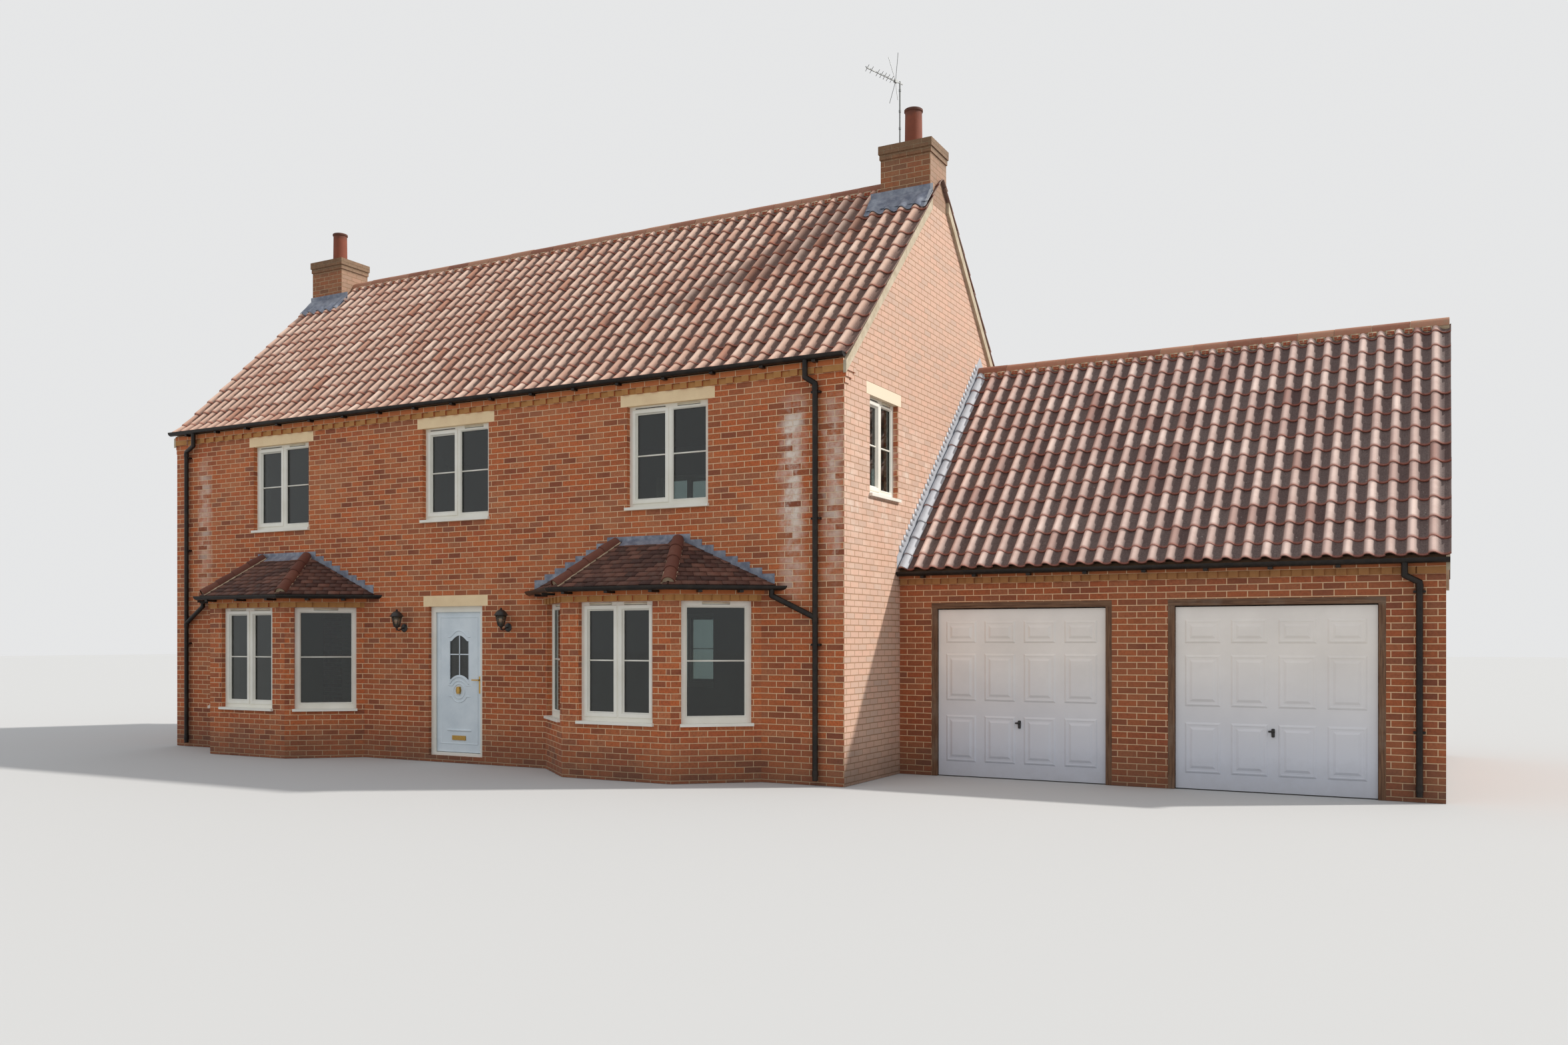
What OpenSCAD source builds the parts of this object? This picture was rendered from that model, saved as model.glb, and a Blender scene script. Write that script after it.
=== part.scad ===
// Detached two-storey brick house with canted bays and an attached double garage.
// Millimetres. X runs along the front from left to right, Y from front to back, Z up.
// Sizes are set out from the foot of the front left corner, and shift() then puts the
// origin under the middle of the whole building.

/* [Main house] */
// Width of the main house over its gable walls
main_w = 12120; // [11600:10:14600]
// Depth of the main house over its front and rear walls
main_d = 6240; // [5200:10:7500]
// Height of the wall faces where the underside of the roof meets them
eaves_z = 5000; // [4900:10:6000]
// Pitch of both gable roofs, degrees
roof_pitch = 45; // [35:1:50]
// Thickness of the outer walls
wall_t = 275; // [230:5:330]
// Top of the ground floor
floor_z = 130; // [110:5:130]
// Top of the first floor
upper_floor_z = 2750; // [2650:10:2850]
// Thickness of the first floor
upper_floor_t = 240; // [200:10:300]

/* [Roof covering] */
// Thickness of the roof deck, measured upright
deck_v = 55; // [40:5:90]
// Depth of the tiles above the deck, measured upright
tile_v = 95; // [70:5:110]
// How far the two eaves courses of brick stand out from the wall
corbel_out = 28; // [20:1:40]
// Height of the main eaves courses over the underside of the deck
corbel_up = 60; // [0:5:80]
// How far the verge bedding hangs below the underside of the deck
verge_drop = 90; // [60:5:120]
// How far the verge bedding stands out from the gable face
verge_out = 40; // [30:5:80]
// Outer radius of the half-round ridge tiles
ridge_r = 115; // [100:5:140]
// Thickness of a ridge tile
ridge_t = 16; // [12:1:20]

/* [Upper windows] */
// Width of the three front windows upstairs, in the brickwork
upper_win_w = 1235; // [1000:5:1400]
// Height of every upstairs window, in the brickwork
upper_win_h = 1350; // [1050:75:1425]
// Foot of every upstairs window opening
upper_win_z = 3410; // [3260:75:3560]
// Distance of the outer window axes from the front door axis
window_spacing = 3572; // [3300:10:3700]
// Width of the small window in each gable
gable_win_w = 885; // [700:5:1000]
// Height of the small window opening in each gable
gable_win_h = 1250; // [1000:5:1350]
// Foot of the small window opening in each gable
gable_win_z = 3510; // [3360:5:3600]
// Distance of the gable window from the front wall face
gable_win_y = 735; // [500:5:1000]
// Depth of the brick reveal in front of a window frame
reveal = 68; // [50:1:90]
// Depth of a window frame, front to back
frame_d = 70; // [60:1:80]
// Width of the face of a window frame
frame_w = 62; // [50:1:80]
// Thickness of the glass units
glass_t = 24; // [20:1:28]
// Height of a stone lintel
lintel_h = 150; // [140:5:225]
// Bearing of a stone lintel past each side of its opening
lintel_bearing = 100; // [75:5:150]

/* [Front door] */
// Axis of the front door from the left gable face
door_axis = 6045; // [5900:5:6200]
// Width of the front door opening in the brickwork
door_w = 1000; // [950:5:1100]
// Head of the front door and bay window openings
door_head_z = 2210; // [2150:5:2270]
// Top of the front door threshold
threshold_z = 135; // [110:5:150]
// Gap all round the door leaf
door_gap = 7; // [6:0.5:9]
// Thickness of the door leaf
leaf_t = 44; // [40:1:50]
// Depth of the brick reveal in front of the door frame
door_reveal = 55; // [40:5:80]

/* [Bays] */
// Axis of the left bay from the left gable face
left_bay_axis = 2600; // [2400:10:2800]
// Axis of the right bay from the left gable face
right_bay_axis = 9330; // [9100:10:9500]
// Width of the front of a bay
bay_front_w = 1640; // [1500:10:1750]
// How far a bay stands out from the wall
bay_out = 720; // [600:10:900]
// Width along the wall of each splayed side
bay_cant_x = 850; // [700:10:950]
// Width of the front window of a bay
bay_win_w = 1120; // [900:10:1200]
// Width of the window in a splayed side
cant_win_w = 870; // [600:10:900]
// Distance of that window from the front corner of the bay
cant_win_x = 130; // [100:5:200]
// Foot of the bay window openings
bay_win_z = 685; // [560:5:760]
// Top of the bay walls
bay_wall_z = 2360; // [2330:5:2430]
// Thickness of the bay walls
bay_t = 215; // [190:5:250]
// Overhang of the bay roofs past the bay walls
bay_roof_out = 120; // [80:5:160]
// Height of the bay roofs over the bay walls
bay_roof_h = 640; // [500:10:700]
// Width of the top edge of a bay roof against the wall
bay_roof_top_w = 940; // [800:10:1100]

/* [Chimneys] */
// Width of a chimney along the ridge
chimney_w = 744; // [660:10:900]
// Depth of a chimney across the ridge
chimney_d = 610; // [550:10:700]
// How far the ridge line lies behind the front face of a chimney
chimney_ridge_y = 365; // [300:5:380]
// Height of the foot of the corbelled cap over the ridge line of the deck
chimney_shaft_h = 285; // [200:5:500]
// Height of the corbelled cap
chimney_cap_h = 190; // [150:5:225]
// How far the cap stands out from the shaft
chimney_cap_out = 28; // [20:1:40]
// Height of a chimney pot over its cap
pot_h = 560; // [450:10:700]
// Outer radius of a chimney pot
pot_r = 124; // [110:1:150]
// Inner radius of a chimney pot
pot_bore_r = 100; // [85:1:105]

/* [Garage] */
// Width of the garage beyond the right gable face
garage_w = 6254; // [6150:10:6600]
// Depth of the garage over its front and rear walls
garage_d = 6240; // [5300:10:7500]
// Distance of the garage front behind the main front
garage_back = 1680; // [1200:10:2000]
// Height of the garage wall faces at the underside of its roof
garage_eaves_z = 2595; // [2500:5:3000]
// Top of the garage floor
garage_floor_z = 5; // [5:1:10]
// Width of the brick pier beside the main house
garage_pier_w = 440; // [400:10:500]
// Width of the brick pier between the two garage doors
garage_mid_pier_w = 650; // [560:10:700]
// Width of a garage door leaf
garage_leaf_w = 2134; // [2000:1:2200]
// Height of a garage door leaf
garage_leaf_h = 2110; // [2000:1:2130]
// Thickness of a garage door leaf
garage_leaf_t = 30; // [25:1:40]
// Foot of a garage door leaf
garage_leaf_z = 10; // [8:1:15]
// Gap at each side of a garage door leaf
garage_side_gap = 6; // [6:1:10]
// Gap over a garage door leaf
garage_head_gap = 14; // [14:1:18]
// Width of the timber frame round a garage door
garage_frame_w = 75; // [60:1:90]
// Depth of the timber frame round a garage door
garage_frame_d = 70; // [60:1:75]
// Setback of the leaf behind the face of its frame
garage_leaf_back = 40; // [35:1:42]

/* [Garage lifting gear] */
// Height of the arm pivots over the foot of the leaf
arm_pivot_h = 1300; // [1290:1:1310]
// Length of a lifting arm between its pivots
arm_l = 1150; // [1140:1:1160]
// Distance of the arm pivots behind the face of the door frame
arm_y = 105; // [100:1:115]
// Width of a lifting arm
arm_w = 30; // [24:1:34]
// Thickness of a lifting arm
arm_t = 6; // [5:1:8]
// Radius of the pivot pins
pin_r = 6; // [5:0.5:8]
// Clearance of the arm eyes round their pins
pin_gap = 0.4; // [0.3:0.1:0.5]

/* [Rainwater goods] */
// Outer radius of a half-round gutter
gutter_r = 56; // [50:1:60]
// Thickness of a gutter
gutter_t = 4; // [3:0.5:5]
// Height of the main gutter's rim over the underside of the deck
gutter_up = 115; // [70:5:140]
// Height of the garage gutter's rim over the underside of its deck
garage_gutter_up = 15; // [10:5:60]
// Outer radius of a downpipe
pipe_r = 34; // [30:1:40]

/* [Hidden] */
$fn = 48;

brick = "#a9583c";
mortar_cream = "#d9cfae";
stone = "#e6d3a4";
clay = "#b8694e";
plain_tile = "#5a3a38";
upvc = "#f2f2f0";
black_plastic = "#1f1d1e";
lead = "#8f979f";
timber = "#5d4433";
door_white = "#ecebea";
steel = "#a9adb0";
brass = "#c9a24b";
glass = "#30363c80";
floor_grey = "#9b9890";

// Roof lines: height of the underside, deck and ridge over a span
slope = tan(roof_pitch);
ridge_y = main_d / 2;
ridge_z = eaves_z + ridge_y * slope;
garage_ridge_y = garage_back + garage_d / 2;
garage_ridge_z = garage_eaves_z + garage_d / 2 * slope;
garage_end_x = main_w + garage_w;
garage_end_y = garage_back + garage_d;

// Half-round gutters hang just clear of the eaves courses, and of the bay roof's edge
gutter_seat = 4;
gutter_clear = 2;
gutter_axis_out = corbel_out + gutter_seat + gutter_r;
bay_gutter_out = bay_roof_out + gutter_clear + gutter_r;

// Bounding box of the building, which sets the origin
sill_out = 42;
box_x0 = -max(verge_out, sill_out);
box_x1 = garage_end_x + verge_out;
box_y0 = -bay_out - bay_gutter_out - gutter_r;
box_y1 = garage_end_y + gutter_axis_out + gutter_r;
module shift() {
    translate([-(box_x0 + box_x1) / 2, -(box_y0 + box_y1) / 2, 0]) children();
}

// A block between two opposite corners
module block(low, high) {
    translate(low) cube(high - low);
}

// A flat outline in the YZ plane, run along X from x0 to x1
module run_x(x0, x1) {
    translate([x0, 0, 0]) rotate([90, 0, 90]) linear_extrude(x1 - x0) children();
}

// Chimneys stand on the gable walls with their outer faces flush
chimney_y0 = ridge_y - chimney_ridge_y;
chimney_y1 = chimney_y0 + chimney_d;
chimney_seat_z = eaves_z + chimney_y0 * slope;
chimney_cap_z = ridge_z + deck_v + chimney_shaft_h;
chimney_top_z = chimney_cap_z + chimney_cap_h;
left_stack_x = [0, chimney_w];
right_stack_x = [main_w - chimney_w, main_w];

// Upstairs windows
win_axes = [door_axis - window_spacing, door_axis, door_axis + window_spacing];
upper_win_top = upper_win_z + upper_win_h;
sill_t = 45;
sill_horn = 18;
sill_gap = 0.2;
glass_back = 30;

// The opening of one upstairs window on the front, cut right through the wall
module upper_opening(axis) {
    block([axis - upper_win_w / 2, -1, upper_win_z], [axis + upper_win_w / 2, wall_t + 1, upper_win_top]);
}

// Doorway
door_x0 = door_axis - door_w / 2;
door_x1 = door_axis + door_w / 2;
bay_half = bay_front_w / 2 + bay_cant_x;

// Plan of a bay: moving both faces of a splayed corner in by d moves the corner along the
// front by corner_in * d, and the foot of the splay along the wall by foot_in * d
bay_hx = bay_front_w / 2;
cant_l = sqrt(bay_cant_x * bay_cant_x + bay_out * bay_out);
cant_angle = atan2(bay_out, bay_cant_x);
corner_in = tan(cant_angle / 2);
foot_in = 1 / sin(cant_angle);
bay_inner_half = bay_half - bay_t * foot_in;
bay_inner_front = bay_hx - bay_t * corner_in;
step_z = floor_z - 40;

// Ground-floor front wall beside the doorway, open behind each bay from the floor up, its
// jambs splayed back in line with the bay's side windows
module front_wall_part(x0, x1, bay_axis) {
    splay = bay_t + 2 * wall_t;
    difference() {
        block([x0, 0, 0], [x1, wall_t, door_head_z]);
        block([bay_axis - bay_inner_half, -1, floor_z],
            [bay_axis + bay_inner_half, wall_t + 1, door_head_z + 1]);
        translate([bay_axis, 0, 0]) {
            on_bay_right() bay_opening(cant_win_x, cant_win_w, splay);
            on_bay_left() bay_opening(cant_win_x, cant_win_w, splay);
        }
    }
}

module front_wall_left() {
    color(brick) {
        front_wall_part(wall_t, door_x0, left_bay_axis);
        block([door_x0 - 1, 0, 0], [door_x1, wall_t, step_z]);
        block([door_x0 - 1, door_frame_y1, 0], [door_x1, wall_t, floor_z]);
    }
}

module front_wall_right() {
    color(brick) front_wall_part(door_x1, main_w - wall_t, right_bay_axis);
}

// Eaves courses: every other header stands out under a plain course that oversails
course = 75;
corbel_top = eaves_z + corbel_up;
dentil_z = corbel_top - 2 * course;
dentil_w = 102;
dentil_pitch = 225;
module dentils(x0, x1, z) {
    count = floor((x1 - x0 - dentil_w) / dentil_pitch);
    start = ((x1 - x0) - count * dentil_pitch - dentil_w) / 2;
    for (i = [0 : count])
        block([x0 + start + i * dentil_pitch, -corbel_out, z],
            [x0 + start + i * dentil_pitch + dentil_w, 0, z + course]);
}

module eaves_courses(x0, x1, z_top) {
    dentils(x0, x1, z_top - 2 * course);
    block([x0, -corbel_out, z_top - course], [x1, 0, z_top]);
}

// Upper front wall from the door head to the roof, with three windows and the door lintel's seat
module front_wall_upper() {
    color(brick) difference() {
        union() {
            run_x(wall_t, main_w - wall_t)
                polygon([[0, door_head_z], [wall_t, door_head_z], [wall_t, eaves_z + wall_t * slope], [0, eaves_z]]);
            eaves_courses(wall_t, main_w - wall_t, corbel_top);
        }
        for (axis = win_axes) {
            upper_opening(axis);
            lintel_block(axis, upper_win_w, upper_win_top);
        }
        lintel_block(door_axis, door_w, door_head_z);
    }
}

// A stone lintel flush with the brickwork, one leaf deep
lintel_d = 102;
module lintel_block(axis, opening, z) {
    block([axis - opening / 2 - lintel_bearing, 0, z], [axis + opening / 2 + lintel_bearing, lintel_d, z + lintel_h]);
}

// Gable outline, cut level where a chimney stands on it
module gable_outline() {
    difference() {
        polygon([[0, 0], [main_d, 0], [main_d, eaves_z], [ridge_y, ridge_z], [0, eaves_z]]);
        translate([chimney_y0, chimney_seat_z]) square([chimney_d, ridge_z]);
    }
}

// Window opening and lintel seat of a gable, for a wall whose outer face is at face_x
module gable_window_cut(face_x, side) {
    x_in = face_x - side * (wall_t + 1);
    x_out = face_x + side;
    block([min(x_in, x_out), gable_win_y, gable_win_z],
        [max(x_in, x_out), gable_win_y + gable_win_w, gable_win_z + gable_win_h]);
    gable_lintel(face_x, side);
}

module gable_lintel(face_x, side) {
    x_in = face_x - side * lintel_d;
    z = gable_win_z + gable_win_h;
    block([min(x_in, face_x), gable_win_y - lintel_bearing, z],
        [max(x_in, face_x), gable_win_y + gable_win_w + lintel_bearing, z + lintel_h]);
}

// Kneeler: three stepped courses at the front foot of a verge
kneeler_y = 260;
kneeler_step = 20;
module kneeler(face_x, side) {
    difference() {
        for (i = [1 : 3]) {
            x_out = face_x + side * kneeler_step * i * 0.6;
            z0 = eaves_z - course * (4 - i);
            block([min(face_x, x_out), 0, z0], [max(face_x, x_out), kneeler_y - course * (3 - i), z0 + course]);
        }
        verge(face_x - verge_out, face_x + verge_out, main_d, eaves_z);
    }
}

module left_gable_wall() {
    color(brick) difference() {
        union() {
            run_x(0, wall_t) gable_outline();
            kneeler(0, -1);
            block([0, -corbel_out, dentil_z], [wall_t, 0, corbel_top]);
        }
        gable_window_cut(0, -1);
    }
}

module right_gable_wall() {
    color(brick) difference() {
        union() {
            run_x(main_w - wall_t, main_w) gable_outline();
            kneeler(main_w, 1);
            block([main_w - wall_t, -corbel_out, dentil_z], [main_w, 0, corbel_top]);
        }
        gable_window_cut(main_w, 1);
    }
}

// Rear wall: the front's upstairs windows over the same three windows downstairs
rear_ground_win_z = 860;
module rear_openings() {
    for (axis = win_axes, z = [rear_ground_win_z, upper_win_z])
        block([axis - upper_win_w / 2, main_d - wall_t - 1, z], [axis + upper_win_w / 2, main_d + 1, z + upper_win_h]);
}

module rear_lintel(axis, z) {
    block([axis - upper_win_w / 2 - lintel_bearing, main_d - lintel_d, z],
        [axis + upper_win_w / 2 + lintel_bearing, main_d, z + lintel_h]);
}

module rear_wall() {
    y1 = main_d;
    y0 = main_d - wall_t;
    color(brick) difference() {
        union() {
            run_x(wall_t, main_w - wall_t)
                polygon([[y0, 0], [y1, 0], [y1, eaves_z], [y0, eaves_z + wall_t * slope]]);
            translate([0, main_d, 0]) mirror([0, 1, 0]) eaves_courses(wall_t, main_w - wall_t, corbel_top);
        }
        rear_openings();
        for (axis = win_axes, z = [rear_ground_win_z, upper_win_z]) rear_lintel(axis, z + upper_win_h);
    }
}

// The chimney breasts inside the gables, which the floors go round
module breast(stack_x, z0, z1, grow = 0) {
    x0 = max(stack_x[0], wall_t);
    x1 = min(stack_x[1], main_w - wall_t);
    block([x0, chimney_y0 - grow, z0], [x1, chimney_y1 + grow, z1]);
}

// Ground floor inside the walls and out into both bays
module ground_floor() {
    color(floor_grey) difference() {
        union() {
            block([wall_t, wall_t, 0], [main_w - wall_t, main_d - wall_t, floor_z]);
            for (axis = [left_bay_axis, right_bay_axis]) translate([axis, 0, 0])
                linear_extrude(floor_z) bay_outline(-bay_t);
        }
        breast(left_stack_x, -1, floor_z + 1);
        breast(right_stack_x, -1, floor_z + 1);
    }
}

module first_floor() {
    color(floor_grey) difference() {
        block([wall_t, wall_t, upper_floor_z - upper_floor_t], [main_w - wall_t, main_d - wall_t, upper_floor_z]);
        breast(left_stack_x, 0, upper_floor_z + 1);
        breast(right_stack_x, 0, upper_floor_z + 1);
    }
}

// Plan of a bay about its axis, its faces moved out from the outer face by d, closed at y = back
module bay_outline(d, back = 0) {
    half = bay_half + d * foot_in;
    front = bay_hx + d * corner_in;
    polygon([[-half, back], [-half, 0], [-front, -bay_out - d],
        [front, -bay_out - d], [half, 0], [half, back]]);
}

// Frame of one side of a bay: x along the side from its left end, y into the bay
module on_bay_front() {
    translate([-bay_hx, -bay_out, 0]) children();
}

module on_bay_right() {
    translate([bay_hx, -bay_out, 0]) rotate([0, 0, cant_angle]) children();
}

module on_bay_left() {
    mirror([1, 0, 0]) on_bay_right() children();
}

bay_win_top = door_head_z;
bay_win_x = (bay_front_w - bay_win_w) / 2;
module bay_opening(x, opening, depth) {
    block([x, -1, bay_win_z], [x + opening, depth, bay_win_top]);
}

module bay_wall(axis) {
    translate([axis, 0, 0]) {
        difference() {
            union() {
                linear_extrude(bay_wall_z) bay_outline(0);
                translate([0, 0, bay_wall_z - course]) linear_extrude(course) bay_outline(corbel_out);
            }
            translate([0, 0, -1]) linear_extrude(bay_wall_z + 2) bay_outline(-bay_t, 1);
            on_bay_front() bay_opening(bay_win_x, bay_win_w, bay_t + 1);
            on_bay_right() bay_opening(cant_win_x, cant_win_w, bay_t + 1);
            on_bay_left() bay_opening(cant_win_x, cant_win_w, bay_t + 1);
        }
        on_bay_front() dentils(0, bay_front_w, bay_wall_z - 2 * course);
        on_bay_right() dentils(0, cant_l, bay_wall_z - 2 * course);
        on_bay_left() dentils(0, cant_l, bay_wall_z - 2 * course);
    }
}

module left_bay_wall() {
    color(brick) bay_wall(left_bay_axis);
}

module right_bay_wall() {
    color(brick) bay_wall(right_bay_axis);
}

// Bay roof: three slopes that end in a short level edge against the wall, hollow over the bay
bay_eave_edge = 30;
bay_deck_v = 90;
bay_ridge_z = bay_wall_z + bay_roof_h;
side_rise_run = (bay_hx - bay_roof_top_w / 2) * sin(cant_angle) + bay_out * cos(cant_angle);
module under_slope(run, y1, z_base, drop) {
    grade = (bay_ridge_z - bay_wall_z - bay_eave_edge) / (run + bay_roof_out);
    z_eave = bay_wall_z + bay_eave_edge - drop;
    run_x(-bay_half - 2 * bay_out, bay_half + 2 * bay_out) polygon([[-bay_roof_out, z_base], [y1, z_base],
        [y1, z_eave + grade * (y1 + bay_roof_out)], [-bay_roof_out, z_eave]]);
}

module bay_roof_form(z_base, drop) {
    intersection() {
        translate([0, -bay_out, 0]) under_slope(bay_out, bay_out, z_base, drop);
        on_bay_right() under_slope(side_rise_run, 2 * bay_half, z_base, drop);
        on_bay_left() under_slope(side_rise_run, 2 * bay_half, z_base, drop);
    }
}

module bay_roof(axis) {
    translate([axis, 0, 0]) difference() {
        bay_roof_form(bay_wall_z, 0);
        intersection() {
            bay_roof_form(bay_wall_z - 4 * bay_deck_v, bay_deck_v);
            translate([0, 0, bay_wall_z - 1]) linear_extrude(bay_roof_h) bay_outline(-bay_t, 1);
        }
    }
}

module left_bay_roof() {
    color(plain_tile) bay_roof(left_bay_axis);
}

module right_bay_roof() {
    color(plain_tile) bay_roof(right_bay_axis);
}

// One slope of a gable roof: a deck of even thickness from the eaves to the ridge line
module slope_outline(span, z_eaves) {
    mid = span / 2;
    polygon([[0, z_eaves], [mid, z_eaves + mid * slope],
        [mid, z_eaves + mid * slope + deck_v], [0, z_eaves + deck_v]]);
}

module chimney_holes() {
    for (stack = [left_stack_x, right_stack_x])
        block([stack[0] - (stack[0] == 0 ? verge_out + 1 : 0), chimney_y0, 0],
            [stack[1] + (stack[1] == main_w ? verge_out + 1 : 0), chimney_y1, chimney_top_z]);
}

module front_roof_slope() {
    color(clay) difference() {
        run_x(0, main_w) slope_outline(main_d, eaves_z);
        chimney_holes();
    }
}

module rear_roof_slope() {
    color(clay) difference() {
        translate([0, main_d, 0]) mirror([0, 1, 0]) run_x(0, main_w) slope_outline(main_d, eaves_z);
        chimney_holes();
    }
}

// Cement verge bedding under the tile edges, standing out past the gable face
module verge(x0, x1, span, z_eaves) {
    mid = span / 2;
    out = corbel_out;
    low = z_eaves - verge_drop - out * slope;
    high = z_eaves + deck_v - out * slope;
    rise = (mid + out) * slope;
    run_x(x0, x1) polygon([[-out, low], [mid, low + rise], [span + out, low],
        [span + out, high], [mid, high + rise], [-out, high]]);
}

// Section of the garage with its roof, raised by up
module garage_section(up) {
    polygon([[garage_back, 0], [garage_end_y, 0], [garage_end_y, garage_eaves_z + up],
        [garage_ridge_y, garage_ridge_z + up], [garage_back, garage_eaves_z + up]]);
}

module verge_strips() {
    color(mortar_cream) {
        difference() {
            union() {
                verge(-verge_out, 0, main_d, eaves_z);
                verge(main_w, main_w + verge_out, main_d, eaves_z);
            }
            for (x = [-verge_out - 1, main_w - 1])
                block([x, chimney_y0, 0], [x + verge_out + 2, chimney_y1, chimney_top_z]);
            run_x(main_w - 1, main_w + verge_out + 1) garage_section(deck_v + lead_up + 1);
        }
        translate([0, garage_back, 0]) verge(garage_end_x, garage_end_x + verge_out, garage_d, garage_eaves_z);
    }
}

// Half-round ridge tiles bedded on both slopes
module ridge(x0, x1, y, z_deck) {
    z_axis = z_deck + tile_v - ridge_r;
    z_bed = z_deck + 0.1;
    difference() {
        translate([x0, y, z_axis]) rotate([0, 90, 0]) cylinder(h = x1 - x0, r = ridge_r);
        translate([x0 - 1, y, z_axis]) rotate([0, 90, 0]) cylinder(h = x1 - x0 + 2, r = ridge_r - ridge_t);
        run_x(x0 - 1, x1 + 1) polygon([
            [y, z_bed], [y + 2 * ridge_r, z_bed - 2 * ridge_r * slope],
            [y + 2 * ridge_r, z_bed - 4 * ridge_r], [y - 2 * ridge_r, z_bed - 4 * ridge_r],
            [y - 2 * ridge_r, z_bed - 2 * ridge_r * slope]]);
    }
}

// Hip tiles of a bay roof, each bedded on the two slopes that meet under it
hip_r = 82;
hip_t = 12;
hip_foot = 35;
module bay_hips(axis) {
    foot = [bay_hx + bay_roof_out * corner_in, -bay_out - bay_roof_out, bay_wall_z + bay_eave_edge];
    top = [bay_roof_top_w / 2, 0, bay_ridge_z];
    v = top - foot;
    l = norm(v);
    translate([axis, 0, 0]) difference() {
        for (s = [0, 1]) mirror([s, 0, 0]) translate(foot)
            rotate([0, acos(v[2] / l), atan2(v[1], v[0])]) translate([0, 0, hip_foot]) difference() {
                cylinder(h = l, r = hip_r);
                translate([0, 0, -1]) cylinder(h = l + 2, r = hip_r - hip_t);
            }
        bay_roof_form(bay_wall_z - 200, 0);
        block([-bay_half, -lead_t - 1, bay_wall_z], [bay_half, bay_half, bay_ridge_z + 500]);
    }
}

module ridge_tiles() {
    color(clay) {
        ridge(left_stack_x[1], right_stack_x[0], ridge_y, ridge_z + deck_v);
        bay_hips(left_bay_axis);
        bay_hips(right_bay_axis);
    }
}

// Chimney: stack over the gable wall, breast inside it, a neck course, a cap of two oversailing
// courses, and a mortar collar that slopes away from the pot
cap_neck_h = 75;
collar_h = 45;
collar_r = 215;
pot_fit = 0.3;
module chimney(stack_x) {
    out = chimney_cap_out;
    mid_x = (stack_x[0] + stack_x[1]) / 2;
    block([stack_x[0], chimney_y0, chimney_seat_z], [stack_x[1], chimney_y1, chimney_cap_z]);
    block([stack_x[0] - out / 2, chimney_y0 - out / 2, chimney_cap_z],
        [stack_x[1] + out / 2, chimney_y1 + out / 2, chimney_cap_z + cap_neck_h]);
    block([stack_x[0] - out, chimney_y0 - out, chimney_cap_z + cap_neck_h],
        [stack_x[1] + out, chimney_y1 + out, chimney_top_z]);
    translate([mid_x, pot_y, chimney_top_z]) difference() {
        cylinder(h = collar_h, r1 = collar_r, r2 = pot_foot_r + 15);
        cylinder(h = collar_h + 1, r = pot_foot_r + pot_fit);
    }
    breast(stack_x, 0, chimney_seat_z);
}

module left_chimney() {
    color(brick) chimney(left_stack_x);
}

module right_chimney() {
    color(brick) chimney(right_stack_x);
}

// Pots: a plain taper with a thick foot in the mortar collar and a small rolled lip
pot_x = [(left_stack_x[0] + left_stack_x[1]) / 2, (right_stack_x[0] + right_stack_x[1]) / 2];
pot_y = (chimney_y0 + chimney_y1) / 2;
pot_foot_r = pot_r + 8;
module chimney_pots() {
    color(clay) for (x = pot_x) translate([x, pot_y, chimney_top_z]) rotate_extrude()
        polygon([[pot_bore_r, 0], [pot_foot_r, 0], [pot_foot_r, collar_h + 12], [pot_r, collar_h + 24],
            [pot_r - 5, pot_h - 44], [pot_r + 8, pot_h - 32], [pot_r + 8, pot_h - 6], [pot_r + 2, pot_h],
            [pot_bore_r, pot_h]]);
}

// Stone lintels over the upstairs windows, the gable windows, the rear windows and the door
module stone_lintels() {
    color(stone) {
        for (axis = win_axes) lintel_block(axis, upper_win_w, upper_win_top);
        lintel_block(door_axis, door_w, door_head_z);
        gable_lintel(0, -1);
        gable_lintel(main_w, 1);
        for (axis = win_axes, z = [rear_ground_win_z, upper_win_z]) rear_lintel(axis, z + upper_win_h);
    }
}

// A window facing -Y with its opening from x = 0 to w and z = 0 to h, brick face at y = 0.
// Two lights: the left one opens in life and has a thicker sash.
bar_h = 22;
sash_w = 38;
module window_frame(w, h, lights) {
    y0 = reveal;
    y1 = reveal + frame_d;
    light_w = (w - (lights + 1) * frame_w) / lights;
    difference() {
        block([0, y0, sill_t], [w, y1, h]);
        for (i = [0 : lights - 1])
            block([frame_w + i * (light_w + frame_w), y0 - 1, sill_t + frame_w],
                [frame_w + i * (light_w + frame_w) + light_w, y1 + 1, h - frame_w]);
    }
}

module window_sill(w) {
    gap = sill_gap;
    block([gap, reveal - 2, gap], [w - gap, reveal + frame_d, sill_t]);
    block([-sill_horn, -sill_out, gap], [w + sill_horn, -gap, sill_t - 8]);
    block([gap, -1, gap], [w - gap, reveal + 1, sill_t - 8]);
}

module window_glass(w, h, lights) {
    light_w = (w - (lights + 1) * frame_w) / lights;
    for (i = [0 : lights - 1])
        block([frame_w + i * (light_w + frame_w), reveal + glass_back, sill_t + frame_w],
            [frame_w + i * (light_w + frame_w) + light_w, reveal + glass_back + glass_t, h - frame_w]);
}

// Places for the windows
module at_front(axis, z, w) {
    translate([axis - w / 2, 0, z]) children();
}

module at_rear(axis, z, w) {
    translate([axis + w / 2, main_d, z]) rotate([0, 0, 180]) children();
}

module at_left_gable(z) {
    translate([0, gable_win_y + gable_win_w, z]) rotate([0, 0, -90]) children();
}

module at_right_gable(z) {
    translate([main_w, gable_win_y, z]) rotate([0, 0, 90]) children();
}

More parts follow.
